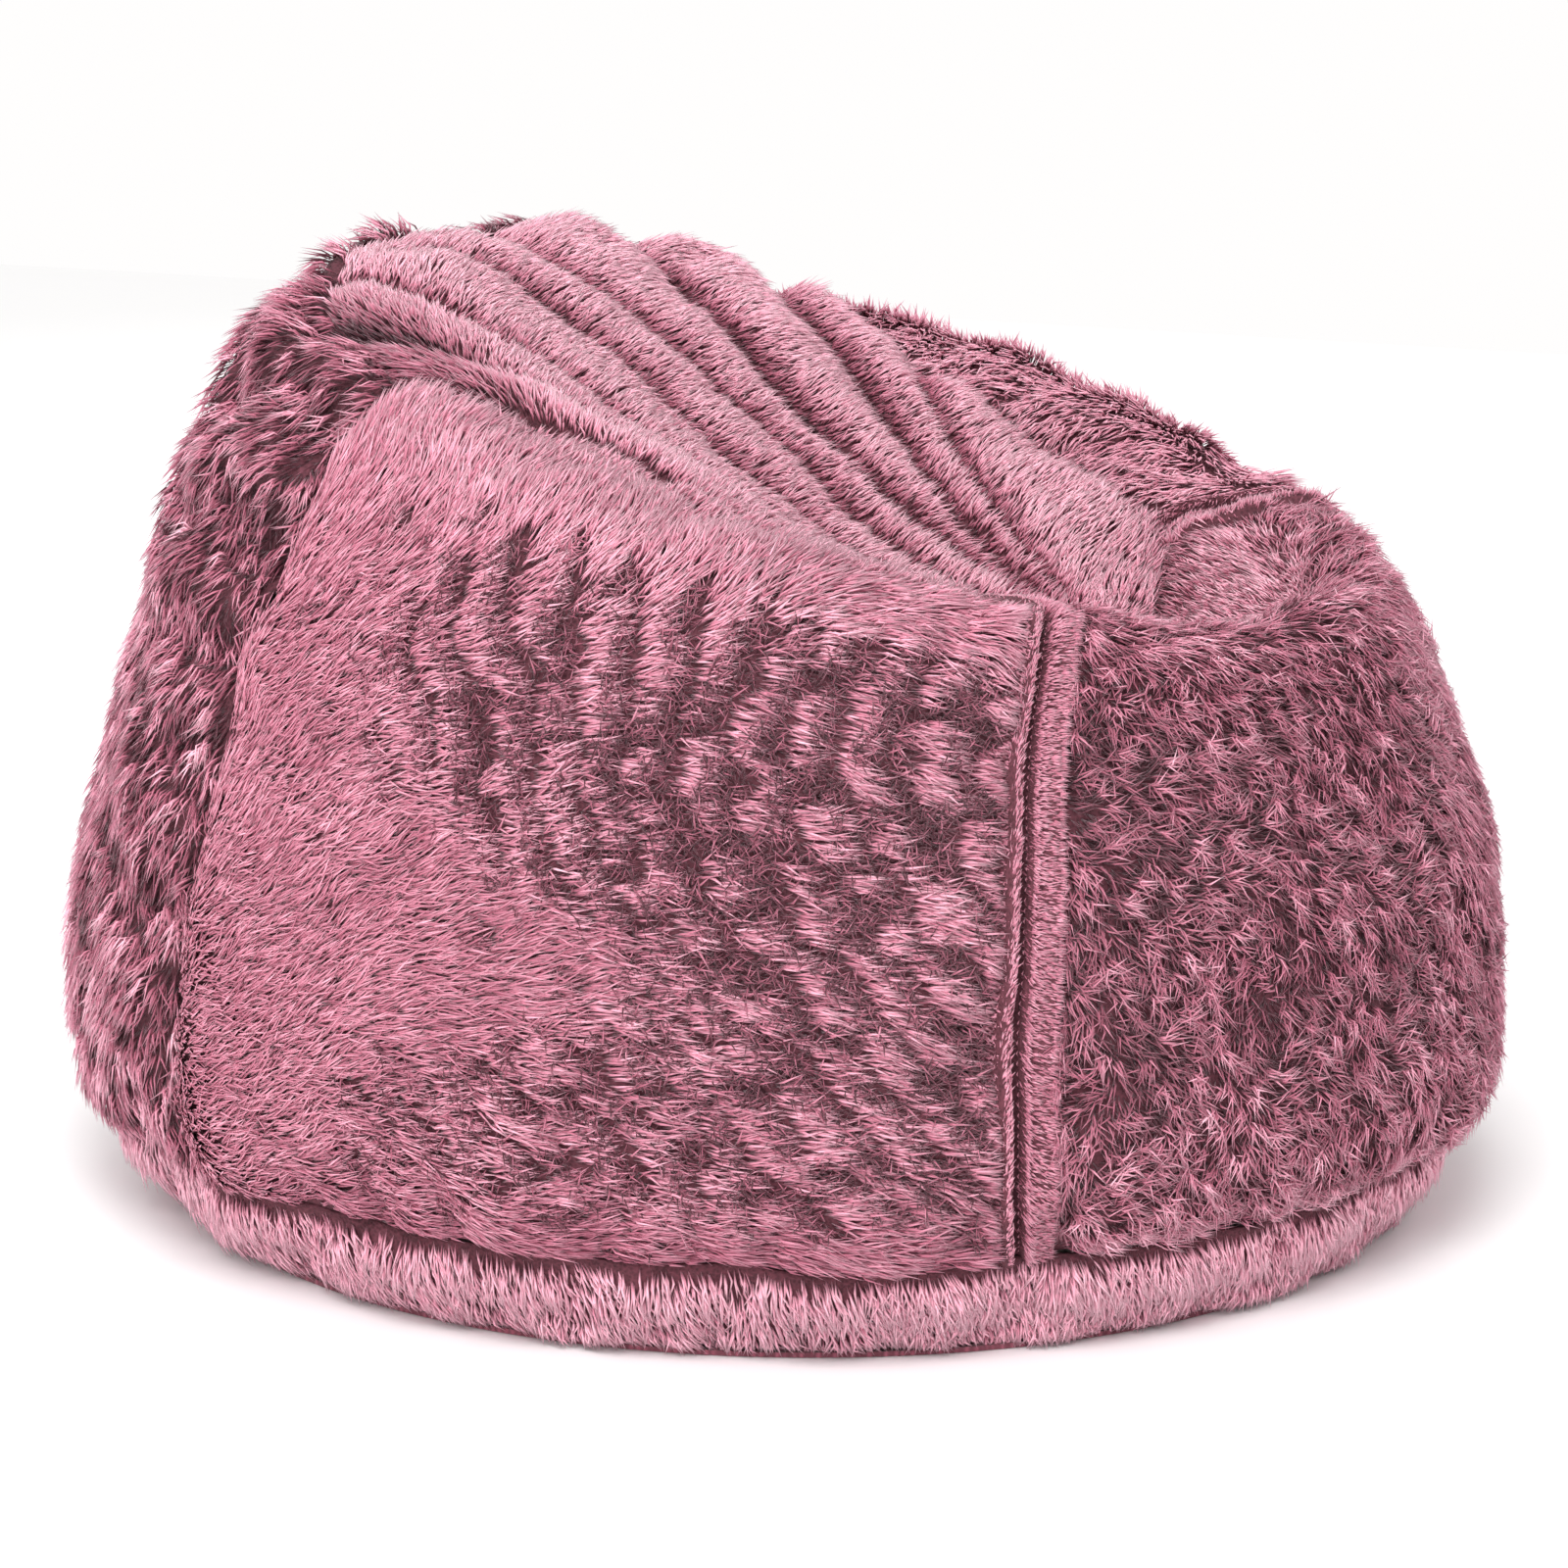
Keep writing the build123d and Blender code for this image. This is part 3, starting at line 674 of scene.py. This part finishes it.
BASE_CLOTH = woven_material("dark_rose_cloth", (0.30, 0.075, 0.115), (0.11, 0.022, 0.036))
TAPE = woven_material("zip_tape_weave", (0.24, 0.055, 0.085), (0.09, 0.018, 0.030), 2400)
LINER = woven_material("liner_weave", (0.80, 0.77, 0.72), (0.55, 0.52, 0.48), 2000)
SATIN = woven_material("label_satin", (0.88, 0.86, 0.83), (0.70, 0.68, 0.65), 3000)
THREAD = moulded_material("rose_thread", (0.62, 0.27, 0.34), (0.36, 0.11, 0.16), 0.6)
TEETH = moulded_material("moulded_teeth", (0.22, 0.05, 0.08), (0.15, 0.03, 0.05), 0.45)
BRASS = moulded_material("die_cast_brass", (0.62, 0.47, 0.24), (0.48, 0.35, 0.17), 0.34, 1.0)
BEADS = moulded_material("bead_white", (0.93, 0.93, 0.92), (0.80, 0.80, 0.79), 0.7)
print(len(bpy.data.materials), "materials")

# %% [markdown]
# ## The cover's cloth
# Each panel becomes a thin closed shell: the settled sheet outside, the same sheet 3 mm further in, and a strip
# that closes its four borders. This piece takes the place of the panel's plain CAD solid.

# %% Closed cloth shells
BACKING_THICKNESS = 0.003
PROUDEST, DEEPEST = 0.014, 0.0205


def closed_sheet(name, outer, inner):
    """Closed shell of two grids: the second is wound the other way, and the borders are joined."""
    rows, columns = outer.shape[:2]
    count = rows * columns
    faces = grid_faces(rows, columns)
    index = np.arange(count).reshape(rows, columns)
    ring = np.concatenate([index[0, :-1], index[:-1, -1], index[-1, :0:-1], index[:0:-1, 0]])
    after = np.roll(ring, -1)
    sides = np.stack([ring, ring + count, after + count, after], -1)
    points = np.concatenate([outer.reshape(-1, 3), inner.reshape(-1, 3)])
    return add_mesh(name, points, np.concatenate([faces, faces[:, ::-1] + count, sides]))


PILE_DEPTH = {
    "front_panel": 0.013,
    "side_panel_right": 0.011,
    "side_panel_left": 0.011,
    "back_panel": 0.013,
    "seat_panel": 0.013,
    "base_band_front": 0.008,
    "base_band_back": 0.008,
}


def cover(panel, points, share, height):
    """Cloth of one panel: the outside, sunk by pile depth - height - lumps, settled, and given its backing.
    The depth is limited, so the cloth never reaches the liner under it."""
    normals = grid_normals(points)
    lumps = 0.0030 * waves(points, 0.16, 11) + 0.0012 * waves(points, 0.055, 12)
    depth = np.clip(PILE_DEPTH[panel] - height - lumps, -PROUDEST, DEEPEST)
    cloth = settle(points - normals * depth[..., None], share)
    normals = grid_normals(cloth)
    piece = closed_sheet(panel + "_cloth", cloth, cloth - BACKING_THICKNESS * normals)
    piece.data.materials.append(BACKING)
    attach(piece, CHAIR)
    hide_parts(panel)
    return cloth, normals


# How firmly each panel's left, right, lower and upper border is pulled in.
SEWN = {
    "front_panel": (0, 0, 0.7, 0.7),
    "side_panel_right": (1, 0, 0.7, 0.8),
    "side_panel_left": (0, 1, 0.7, 0.8),
    "back_panel": (1, 1, 0.7, 0.1),
    "seat_panel": (0.8, 0.8, 0.6, 0.1),
    "base_band_front": (0, 0, 0, 0.8),
    "base_band_back": (0, 0, 0, 0.8),
}
covers = {
    panel: cover(panel, points, share, extra_height[panel] - seam_pull(points, SEWN[panel]))
    for panel, (points, _, share) in grids.items()
}
print("cloth panels", {panel: cloth.shape[:2] for panel, (cloth, _) in covers.items()})

# %% [markdown]
# ## The pile
# A lock is a bundle of fibres that cling together: thin at its root, widest where it bends, and pointed. It has
# five points and six triangles and is closed, so a quarter of a million locks stay workable. Roots are
# scattered by area with seeded random numbers, more thickly on the felled seams, whose pile is short.

# %% Locks
FELLED = {"front_panel": (0, 1), "side_panel_right": (1,), "side_panel_left": (0,)}
# The root, three points round the bend and the tip; three triangles at each end.
LOCK_FACES = np.array([[2, 1, 0], [3, 2, 0], [1, 3, 0], [1, 2, 4], [2, 3, 4], [3, 1, 4]])
RING = np.radians(np.array([90, 330, 210]))
ALONG, ACROSS = (0, 0.5, 0.5, 0.5, 1), (0.5, 0.5, 1, 0, 0.5)


def scatter(cloth, normals, dense, count, rng):
    """Seeded roots spread by area, and more thickly where dense is over 1: a function that reads a field of the
    grid at the roots, and the normal and the two directions of the grid there."""
    across = np.diff(cloth, axis=1)[:-1]
    up = np.diff(cloth, axis=0)[:, :-1]
    area = np.linalg.norm(np.cross(across, up), axis=-1) * dense[:-1, :-1]
    cell = rng.choice(area.size, count, p=(area / area.sum()).ravel())
    i, j = np.divmod(cell, area.shape[1])
    a, b = rng.random(count), rng.random(count)

    def blended(field):
        """Value of a field of the grid at each root, from the four corners of its cell."""
        shape = (count,) + (1,) * (field.ndim - 2)
        along, over = a.reshape(shape), b.reshape(shape)
        low = field[i, j] * (1 - along) + field[i, j + 1] * along
        high = field[i + 1, j] * (1 - along) + field[i + 1, j + 1] * along
        return low * (1 - over) + high * over

    normal = unit(blended(normals))
    side = unit(across[i, j])
    side = unit(side - normal * (side * normal).sum(-1, keepdims=True))
    return blended, normal, side, np.cross(normal, side)


def clumps(place, size, seed):
    """Fibres cling in clumps laid like bricks: the way from each root to its clump's middle, and the clump's
    own random number. Middles are moved by up to a quarter of the size, so no pattern shows."""
    at = np.stack([place["left"], place["down"]], -1) / size
    at[:, 0] += 0.5 * (np.floor(at[:, 1]) % 2)
    cell = np.floor(at).astype(int)
    drawn = np.random.default_rng(seed).random((97, 89, 3))[cell[:, 0] % 97, cell[:, 1] % 89]
    return (cell + 0.25 + 0.5 * drawn[:, :2] - at) * size, drawn[:, 2]


def locks(root, normal, side, up, nap, pull):
    """Points of the locks, five for each. The nap's angle turns a lock in the cloth's plane, 0 along the rows
    of the grid and 90 degrees up its columns; lift is how steeply it leaves the cloth; curl turns its tip, and
    pull moves its tip, and its bend by half as much."""
    angle, lift, length, curl, width = nap
    pull = side * pull[:, :1] + up * pull[:, 1:]

    def heading(turn, rise):
        """Direction turned in the cloth's plane and raised from it."""
        flat = side * np.cos(turn)[:, None] + up * np.sin(turn)[:, None]
        return unit(flat * np.cos(rise)[:, None] + normal * np.sin(rise)[:, None])

    first, last = heading(angle, np.minimum(lift * 1.5, 1.5)), heading(angle + curl, lift * 0.4)
    start = root - normal * 0.001
    bend = start + first * (0.45 * length)[:, None] + 0.5 * pull
    tip = bend + last * (0.55 * length)[:, None] + 0.5 * pull
    way = unit(first + last)
    flank = unit(np.cross(way, normal))
    back = np.cross(flank, way)
    ring = [bend + (flank * math.cos(turn) + back * (0.6 * math.sin(turn))) * width[:, None] for turn in RING]
    return np.stack([start, *ring, tip], 1)


print("a lock has", len(RING) + 2, "points and", len(LOCK_FACES), "triangles")

# %% [markdown]
# ## One panel of pile
# What makes the fur read as this fur is its nap: which way the locks of a panel lie, how flat, how long, and
# where they open up and show their roots. So every panel has a short function that turns a place on the panel
# into those numbers, and one function lays any panel's pile from them.

# %% Pile of a panel
Nap = namedtuple("Nap", "angle lift length curl width tone loose")
STRIP_DENSITY = 3.5
LOCK_WIDTH = 0.00115


def pile(name, panel, count, nap, seed, parts=1, clump=(0.008, 0.6)):
    """Locks of one panel; nap gives a Nap at each root, and clump is the clumps' size and how far the tips are
    pulled together."""
    cloth, normals = covers[panel]
    rng = np.random.default_rng(seed)
    dense = np.ones(cloth.shape[:2])
    felled = (STRIP if panel == "front_panel" else WELT)[1] + 0.002
    for border in FELLED.get(panel, ()):
        dense += (STRIP_DENSITY - 1) * (away[panel][border] < felled)
    blended, normal, side, up = scatter(cloth, normals, dense, count, rng)
    root = blended(cloth)
    _, s, share = grids[panel]
    place = dict(root=root, s=blended(s), u=blended(np.broadcast_to(share, s.shape)), rng=rng, count=count)
    place.update(zip(("left", "right", "down", "up"), map(blended, away[panel])))
    angle, lift, length, curl, width, tone, loose = nap(place)
    pull, own = clumps(place, clump[0], seed)
    pull *= (clump[1] * (1 - loose))[:, None]
    tone = tone + 0.16 * (own - 0.5)
    length = length * rng.uniform(0.80, 1.15, count)
    lift = np.clip(lift + rng.normal(0, 0.09, count), 0.10, 1.4)
    angle = angle + rng.normal(0, 0.12, count)
    points = locks(root, normal, side, up, (angle, lift, length, curl, width), pull)
    points[..., 2] = np.maximum(points[..., 2], 0.0008)
    tone = np.clip(tone + rng.normal(0, 0.10, count), -0.3, 1.3)
    for number, chosen in enumerate(np.array_split(np.arange(count), parts)):
        faces = (LOCK_FACES[None] + 5 * np.arange(len(chosen))[:, None, None]).reshape(-1, 3)
        label = name if parts == 1 else f"{name}_{number + 1}"
        piece = add_mesh(label, points[chosen].reshape(-1, 3), faces)
        along, across = np.tile(ALONG, len(chosen)), np.tile(ACROSS, len(chosen))
        for key, value in dict(along=along, across=across, tone=np.repeat(tone[chosen], 5)).items():
            piece.data.attributes.new(key, "FLOAT", "POINT").data.foreach_set("value", value.astype(np.float32))
        piece.data.materials.append(PILE)
        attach(piece, CHAIR)
    print(name, count, "locks")


# %% [markdown]
# ## Side panels
# The side panels are combed level towards the front. Towards the front seam the pile has broken up into laid
# patches in slanting rows, with curly gaps between whose locks are darkened as painted shade. Noise alone gives
# blots, not rows. So the rows are cosines of the place, patches in one row are cut off by a second cosine, and
# smooth fields bend both. The top of the wall is lightened as painted light, and the seams' grooves are
# darkened as painted shade.

# %% Nap of the side panels
ROW_PITCH, PATCH_LENGTH = 0.031, 0.055
ROW_SLANT, SLANT_TOP, SLANT_EASE = 0.9, 0.33, 0.03
SIDE_PILE = 0.027


def side_nap(place, left):
    """Level nap towards the front, with slanting rows of laid patches in a zone that grows to the front. A
    place is a gap where cos(2 pi phase) or cos(2 pi along) is low; the left panel's grid runs the other way."""
    root, s, count, rng = place["root"], place["s"], place["count"], place["rng"]
    front = 1 - place["u"] if left else place["u"]
    seam = place["left"] if left else place["right"]
    ahead, z = -root[:, 1], root[:, 2]
    slant = ROW_SLANT * (z - SLANT_EASE * np.log1p(np.exp((z - SLANT_TOP) / SLANT_EASE)))
    phase = (ahead + slant) / ROW_PITCH + 0.32 * waves(root, 0.15, 3) + 0.14 * waves(root, 0.05, 4)
    along = (z - 0.45 * ahead) / PATCH_LENGTH + 0.5 * np.round(phase) + 0.30 * waves(root, 0.08, 5)
    stripe = np.minimum(np.cos(2 * math.pi * phase), 1.2 * np.cos(2 * math.pi * along) + 0.95)
    stripe += 0.34 * waves(root, 0.026, 15)
    left_edge = 0.04 + 0.30 * np.exp(-(((s - 2.70) / 0.45) ** 2))
    zone = smooth(front, left_edge, left_edge + 0.34) * smooth(s, 1.25, 1.9) * (1 - smooth(s, 4.35, 4.70))
    zone *= 1 - 0.25 * (1 - smooth(s, 1.9, 2.6))
    limit = 1.20 - 1.36 * zone
    opened = smooth(-stripe, limit, limit + 0.30) * smooth(seam, 0.012, 0.020)
    inner = smooth(s, 4.95, 5.35)
    top = smooth(s, 4.05, 4.75)
    tilt = 0.36 * (1 - front) + 0.10 * waves(root, 0.20, 8) + 0.12 * waves(root, 0.05, 9) - 0.12 * zone
    tilt += top * (1.05 - 1.65 * smooth(front, 0.50, 0.98))
    tilt += opened * rng.normal(0, 0.8, count)
    tilt = mixed(inner, 1.45 + 0.10 * waves(root, 0.06, 17), tilt)
    lift = 0.22 + 0.42 * opened + 0.18 * top * (1 - inner)
    length = SIDE_PILE - 0.0115 * opened - 0.004 * zone * (1 - opened)
    curl = rng.normal(0, 0.16, count) + opened * rng.normal(0, 0.9, count)
    length = np.minimum(length, np.maximum(0.007, (seam - 0.009) * 1.1))
    width = LOCK_WIDTH * (0.88 - 0.30 * opened)
    # Tone: the opened gaps are darkened as painted shade and the top of the wall is lightened as painted light;
    # the laid zone and the inside of the rim are lighter, and the waves and random numbers add the locks' own
    # differences.
    tone = 0.49 - 0.58 * opened + 0.20 * top + 0.22 * zone * (1 - opened) + 0.05 * waves(root, 0.09, 10)
    tone += opened * rng.normal(0, 0.18, count)
    tone += 0.08 * waves(root, 0.018, 16) + 0.12 * inner
    welt = 1 - smooth(seam, 0.0085, 0.0105)
    tilt = mixed(welt, 1.35 + rng.normal(0, 0.15, count), tilt)
    lift, length = mixed(welt, 0.12, lift), mixed(welt, 0.0065, length)
    # Within 3 mm of the seam the colour is darkened as painted shade in the seam's groove.
    curl, tone = curl * (1 - welt), mixed(welt, 0.62, tone) - 0.4 * (1 - smooth(seam, 0.001, 0.003))
    # Near the lower border and the back seam the locks are shorter, and darker as painted shade in the seam's
    # channel.
    edge = 1 - smooth(np.minimum(place["down"], place["right"] if left else place["left"]), 0.004, 0.016)
    angle = math.pi - tilt if left else tilt
    width = mixed(welt, LOCK_WIDTH * 0.6, width)
    loose = np.maximum(welt, 0.5 * opened)
    return Nap(angle, lift, length * (1 - 0.4 * edge), curl, width, tone - 0.15 * edge, loose)


pile("pile_side_right", "side_panel_right", 64000, lambda place: side_nap(place, False), 1, 2, (0.006, 0.45))
pile("pile_side_left", "side_panel_left", 33000, lambda place: side_nap(place, True), 2, 2, (0.007, 0.55))

# %% [markdown]
# ## Front panel
# The front panel is short and curly, and it shows its roots because the tufts turn every way; its colour is
# kept dark as painted shade, for a pile that points into the view and away from the light. Behind the lip the
# same pile lies flat, and its colour is raised as painted light. A smooth field swirls the nap, a finer one
# raises and darkens tufts, and both fade out behind the lip. Beside the seat's seam and in the seam grooves the
# colour is darkened as painted shade.

# %% Nap of the front panel
FRONT_PILE, STRIP_PILE = 0.0205, 0.0085


def front_nap(place):
    """Short curly tufts that swirl; behind the lip the pile lies flat and pale, up out of the hollow."""
    root, s, count, rng = place["root"], place["s"], place["count"], place["rng"]
    swirl = waves(root, 0.085, 21) * 0.8 + waves(root, 0.028, 22) * 0.6
    inner = smooth(s, 5.25, 5.65)
    hem = 1 - smooth(place["down"], 0.012, 0.045)
    tuft = waves(root, 0.017, 23)
    rim = np.exp(-(((s - 4.85) / 0.28) ** 2))
    angle = (-1.15 + swirl * (1 - 0.6 * rim)) * (1 - inner) + inner * 0.9
    angle = angle * (1 - hem) + hem * 0.15 + rng.normal(0, 0.30, count) * (1 - inner)
    lift = 0.54 + 0.20 * tuft * (1 - inner) - 0.34 * inner - 0.28 * hem - 0.12 * rim
    length = FRONT_PILE - 0.002 * inner + 0.003 * rim
    curl = (0.35 * waves(root, 0.04, 25) + rng.normal(0, 0.55, count)) * (1 - 0.7 * inner)
    width = np.full(count, LOCK_WIDTH * 0.66)
    # Painted shade: the colour is darkened near the seat's seam, deep in the hollow.
    deep_shade = 1 - smooth(place["up"], 0.005, 0.050)
    # The low base tone is painted shade over the panel, and the raise behind the lip is painted light.
    tone = 0.22 + 0.34 * tuft + 0.07 * waves(root, 0.12, 24) + 0.62 * inner + 0.12 * hem + 0.20 * rim
    tone = tone - 0.45 * deep_shade + 0.14 * (1 - smooth(s, 1.6, 3.0))
    seam = np.minimum(place["left"], place["right"])
    strip = 1 - smooth(seam, STRIP[1], STRIP[1] + 0.003)
    angle = mixed(strip, -0.30 + rng.normal(0, 0.12, count), angle)
    lift, length = mixed(strip, 0.14, lift), mixed(strip, STRIP_PILE, length)
    curl, width = curl * (1 - strip), mixed(strip, LOCK_WIDTH * 0.65, width)
    # Within 6 mm of the seam the colour is darkened as painted shade in the groove beside the strip.
    tone = mixed(strip, 0.64, tone) - 0.55 * (1 - smooth(seam, 0.0035, 0.0060))
    return Nap(angle, lift, length, curl, width, tone, strip)


pile("pile_front", "front_panel", 64000, front_nap, 3, 2, (0.0065, 0.30))

# %% [markdown]
# ## Back panel
# The back hangs in heavy spikes, because its pile points straight down and fibres cling to their neighbours. A
# field stretched in height makes tall clumps, and each clump has its own lift and shade.

# %% Nap of the back panel
BACK_PILE, STRAIGHT_DOWN = 0.025, -math.pi / 2


def back_nap(place):
    """Heavy spikes that hang down and clump together, with dark gaps."""
    root, count, rng = place["root"], place["count"], place["rng"]
    clump = waves(root * np.array([1, 1, 0.45]), 0.016, 31)
    angle = STRAIGHT_DOWN + 0.30 * waves(root, 0.11, 32) + 0.35 * waves(root, 0.030, 33)
    lift = 0.46 + 0.16 * clump + rng.normal(0, 0.05, count)
    curl = rng.normal(0, 0.30, count)
    tone = 0.34 + 0.42 * clump + 0.07 * waves(root, 0.15, 34) - 0.08 * smooth(place["s"], 3.6, 4.4)
    length, width = np.full(count, BACK_PILE), np.full(count, LOCK_WIDTH * 0.85)
    return Nap(angle, lift, length, curl, width, tone, np.zeros(count))


pile("pile_back", "back_panel", 38000, back_nap, 4, 2, (0.010, 0.75))

# %% [markdown]
# ## Seat panel
# The seat's pile stands across its flutes, and its colour is made pale as painted highlight on the ridges; in
# each valley it is pressed flat and darkened as painted shade, and so is the cleft along its front seam and its
# left border. The same curves that made the valleys in the cloth tell the nap where they are. At the right end
# of the crest the back's dark pile is turned over on to the seat.

# %% Nap of the seat
SEAT_PILE = 0.0205


def seat_nap(place):
    """Pile that stands straight across the flutes, its tips over the next valley."""
    root, count, rng = place["root"], place["count"], place["rng"]
    v, u = place["s"], 2 * place["u"] - 1
    shade = np.zeros(count)
    for off, depth in valley_offsets(u, v):
        shade = np.maximum(shade, depth / 0.018 * np.exp(-(((off - 0.022) / 0.050) ** 2)))
    shade *= smooth(v, 0.0, 0.25)
    angle = -0.30 + 0.14 * waves(root, 0.09, 41) + 0.12 * waves(root, 0.03, 42)
    lift = 0.44 - 0.10 * shade + rng.normal(0, 0.05, count)
    length = SEAT_PILE - 0.006 * shade
    curl = rng.normal(0, 0.18, count)
    # Painted shade: the colour is darkened beside the front seam and along the left border, in the cleft of the
    # hollow.
    deep_shade = 1 - smooth(v, 0.0, 0.16)
    turned = smooth(v, 0.70, 0.90) * (1 - smooth(u, -0.72, -0.42))
    deep_shade = np.maximum(deep_shade, 1 - smooth(place["left"], 0.004, 0.020))
    # The high base tone is painted highlight on the ridges of the flutes.
    tone = 1.12 - 1.00 * shade - 0.35 * deep_shade - 0.85 * turned + 0.06 * waves(root, 0.05, 43)
    angle = angle + turned * 1.2
    return Nap(angle, lift, length, curl, np.full(count, LOCK_WIDTH * 0.8), tone, np.full(count, 0.3))


pile("pile_seat", "seat_panel", 44000, seat_nap, 5, 2)

# %% [markdown]
# ## Band at the floor
# The band is combed straight down, and its colour is made the palest of the chair as painted light, which lifts
# it out of the shade under the girth. Its locks get shorter towards the hem, so that none goes through the
# floor.

# %% Nap of the band


def band_nap(place):
    """Combed down, with length = height above the floor + 6 mm, between 9 and 24 mm."""
    root, count, rng = place["root"], place["count"], place["rng"]
    angle = STRAIGHT_DOWN + 0.25 + 0.16 * waves(root, 0.05, 51)
    length = np.clip(root[:, 2] + 0.006, 0.009, 0.024)
    curl = rng.normal(0, 0.25, count)
    # The high tone is painted light: the band sits in the shade under the girth.
    tone = 1.08 + 0.09 * waves(root, 0.03, 52)
    lift, width = np.full(count, 0.24), np.full(count, LOCK_WIDTH * 0.85)
    return Nap(angle, lift, length, curl, width, tone, np.zeros(count))


pile("pile_band_front", "base_band_front", 12000, band_nap, 6)
pile("pile_band_back", "base_band_back", 13000, band_nap, 7)

# %% [markdown]
# ## Topstitching
# The felled seams are held by two lines of thread. A stitch is the same five-point spindle as a lock, so it
# needs no new shape: it only lies along the seam, every six millimetres.

# %% Stitches
STITCH_PITCH, STITCH_LENGTH, STITCH_HALF_WIDTH, STITCH_LIFT = 0.006, 0.0042, 0.0005, 0.0012
ON_STRIP, BESIDE_WELT = 0.0045, 0.0095


def stitch_line(panel, border, distance):
    """Places and directions of stitches at this distance from the panel's left (0) or right (1) border."""
    cloth, normals = covers[panel]
    far = away[panel][border]
    order = slice(None) if border == 0 else slice(None, None, -1)
    line, face = [
        np.array(
            [[np.interp(distance, d[order], row[order, k]) for k in range(3)] for d, row in zip(far, field)]
        )
        for field in (cloth, normals)
    ]
    run = np.append(0, np.cumsum(np.linalg.norm(np.diff(line, axis=0), axis=1)))
    at = np.arange(STITCH_PITCH, run[-1] - STITCH_PITCH, STITCH_PITCH)
    place, normal, ahead = [
        np.stack([np.interp(at, run, column[:, k]) for k in range(3)], -1)
        for column in (line, face, np.gradient(line, axis=0))
    ]
    return place, unit(normal), unit(ahead)


def topstitching(name, lines):
    """One piece of thread: all stitches of these lines. A stitch's middle stands up from the cloth, and its
    ends go back into it."""
    place, normal, ahead = map(np.concatenate, zip(*(stitch_line(*line) for line in lines)))
    count = len(place)
    middle, flank = place + STITCH_LIFT * normal, np.cross(ahead, normal)
    ring = [middle + (flank * math.cos(turn) + normal * math.sin(turn)) * STITCH_HALF_WIDTH for turn in RING]
    ends = [middle + ahead * (way * STITCH_LENGTH / 2) - STITCH_LIFT * normal for way in (-1, 1)]
    points = np.stack([ends[0], *ring, ends[1]], 1).reshape(-1, 3)
    piece = add_mesh(name, points, (LOCK_FACES[None] + 5 * np.arange(count)[:, None, None]).reshape(-1, 3))
    piece.data.materials.append(THREAD)
    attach(piece, CHAIR)
    print(name, count, "stitches")


topstitching("topstitch_right", [("front_panel", 0, ON_STRIP), ("side_panel_right", 1, BESIDE_WELT)])
topstitching("topstitch_left", [("front_panel", 1, ON_STRIP), ("side_panel_left", 0, BESIDE_WELT)])

# %% [markdown]
# ## Zip, label and liner
# The hard pieces keep their CAD shape, because it is right. They only get a finish: woven tape, moulded teeth
# and satin die-cast metal.

# %% Finishes for the CAD nodes
FINISHES = {
    "base_panel": BASE_CLOTH,
    "care_label": SATIN,
    "liner_zip_tape": TAPE,
    "cover_zip_tape": TAPE,
    "liner_zip_teeth": TEETH,
    "cover_zip_teeth": TEETH,
    "liner_zip_s": BRASS,
    "cover_zip_s": BRASS,
    "bead_fill": BEADS,
    "liner_": LINER,
}
for name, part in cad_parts.items():
    for start, finish in FINISHES.items():
        if name.startswith(start):
            part.data.materials.clear()
            part.data.materials.append(finish)
            break
print("finished", sum(name.startswith(tuple(FINISHES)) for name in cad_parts), "CAD nodes")

# %% [markdown]
# ## Studio
# A pale floor in a white room, a broad key light from above on the sitter's right, a low one beside it that
# reaches under the girth, and a weak one from behind. The lights are large squares, because small ones would
# throw hard shadows between the locks. The camera stands on the sitter's right, a little above the crest.

# %% Floor, lights and camera
FLOOR_SIZE, TARGET_Z = 8.0, 0.258
CAMERA_DISTANCE, CAMERA_AZIMUTH, CAMERA_ELEVATION = 3.2, -66.0, 13.0
FRAME_WIDTH_AT_CHAIR = 1.0304


def floor():
    """Square just under the base cloth, so the two faces don't lie in one plane."""
    half, below = FLOOR_SIZE / 2, -0.0005
    corners = np.array([[-half, -half, below], [half, -half, below], [half, half, below], [-half, half, below]])
    piece = add_mesh("floor", corners, np.array([[0, 1, 2, 3]]))
    material, _, shader = new_material("pale_floor", Roughness=0.85)
    shader.inputs["Base Color"].default_value = (0.93, 0.93, 0.93, 1)
    piece.data.materials.append(material)


def area_light(name, place, size, power):
    """Square soft light that looks at the chair."""
    data = bpy.data.lights.new(name, "AREA")
    data.size, data.energy = size, power
    lamp = bpy.data.objects.new(name, data)
    bpy.context.scene.collection.objects.link(lamp)
    lamp.location = place
    aim(lamp)


def aim(thing):
    """Turns a light or camera from its own place to the middle of the chair."""
    way = Vector((0, 0, TARGET_Z)) - thing.location
    thing.rotation_euler = way.to_track_quat("-Z", "Y").to_euler()


floor()
area_light("key", (-2.2, -0.9, 2.8), 1.5, 84)
area_light("low_fill", (-2.8, 0.2, 0.35), 1.6, 24)
area_light("back_fill", (1.6, 2.2, 2.2), 2.4, 26)
world = bpy.data.worlds.new("studio")
world.use_nodes = True
world.node_tree.nodes["Background"].inputs["Color"].default_value = (1.0, 0.99, 0.985, 1)
world.node_tree.nodes["Background"].inputs["Strength"].default_value = 1.0
bpy.context.scene.world = world
bpy.context.scene.view_settings.view_transform = "Standard"

camera = bpy.data.objects.new("camera", bpy.data.cameras.new("camera"))
bpy.context.scene.collection.objects.link(camera)
turn, rise = math.radians(CAMERA_AZIMUTH), math.radians(CAMERA_ELEVATION)
camera.location = (
    CAMERA_DISTANCE * math.cos(rise) * math.sin(turn),
    -CAMERA_DISTANCE * math.cos(rise) * math.cos(turn),
    TARGET_Z + CAMERA_DISTANCE * math.sin(rise),
)
aim(camera)
camera.data.lens = camera.data.sensor_width * CAMERA_DISTANCE / FRAME_WIDTH_AT_CHAIR
bpy.context.scene.camera = camera
print("camera", [round(x, 2) for x in camera.location], "lens", round(camera.data.lens), "mm")
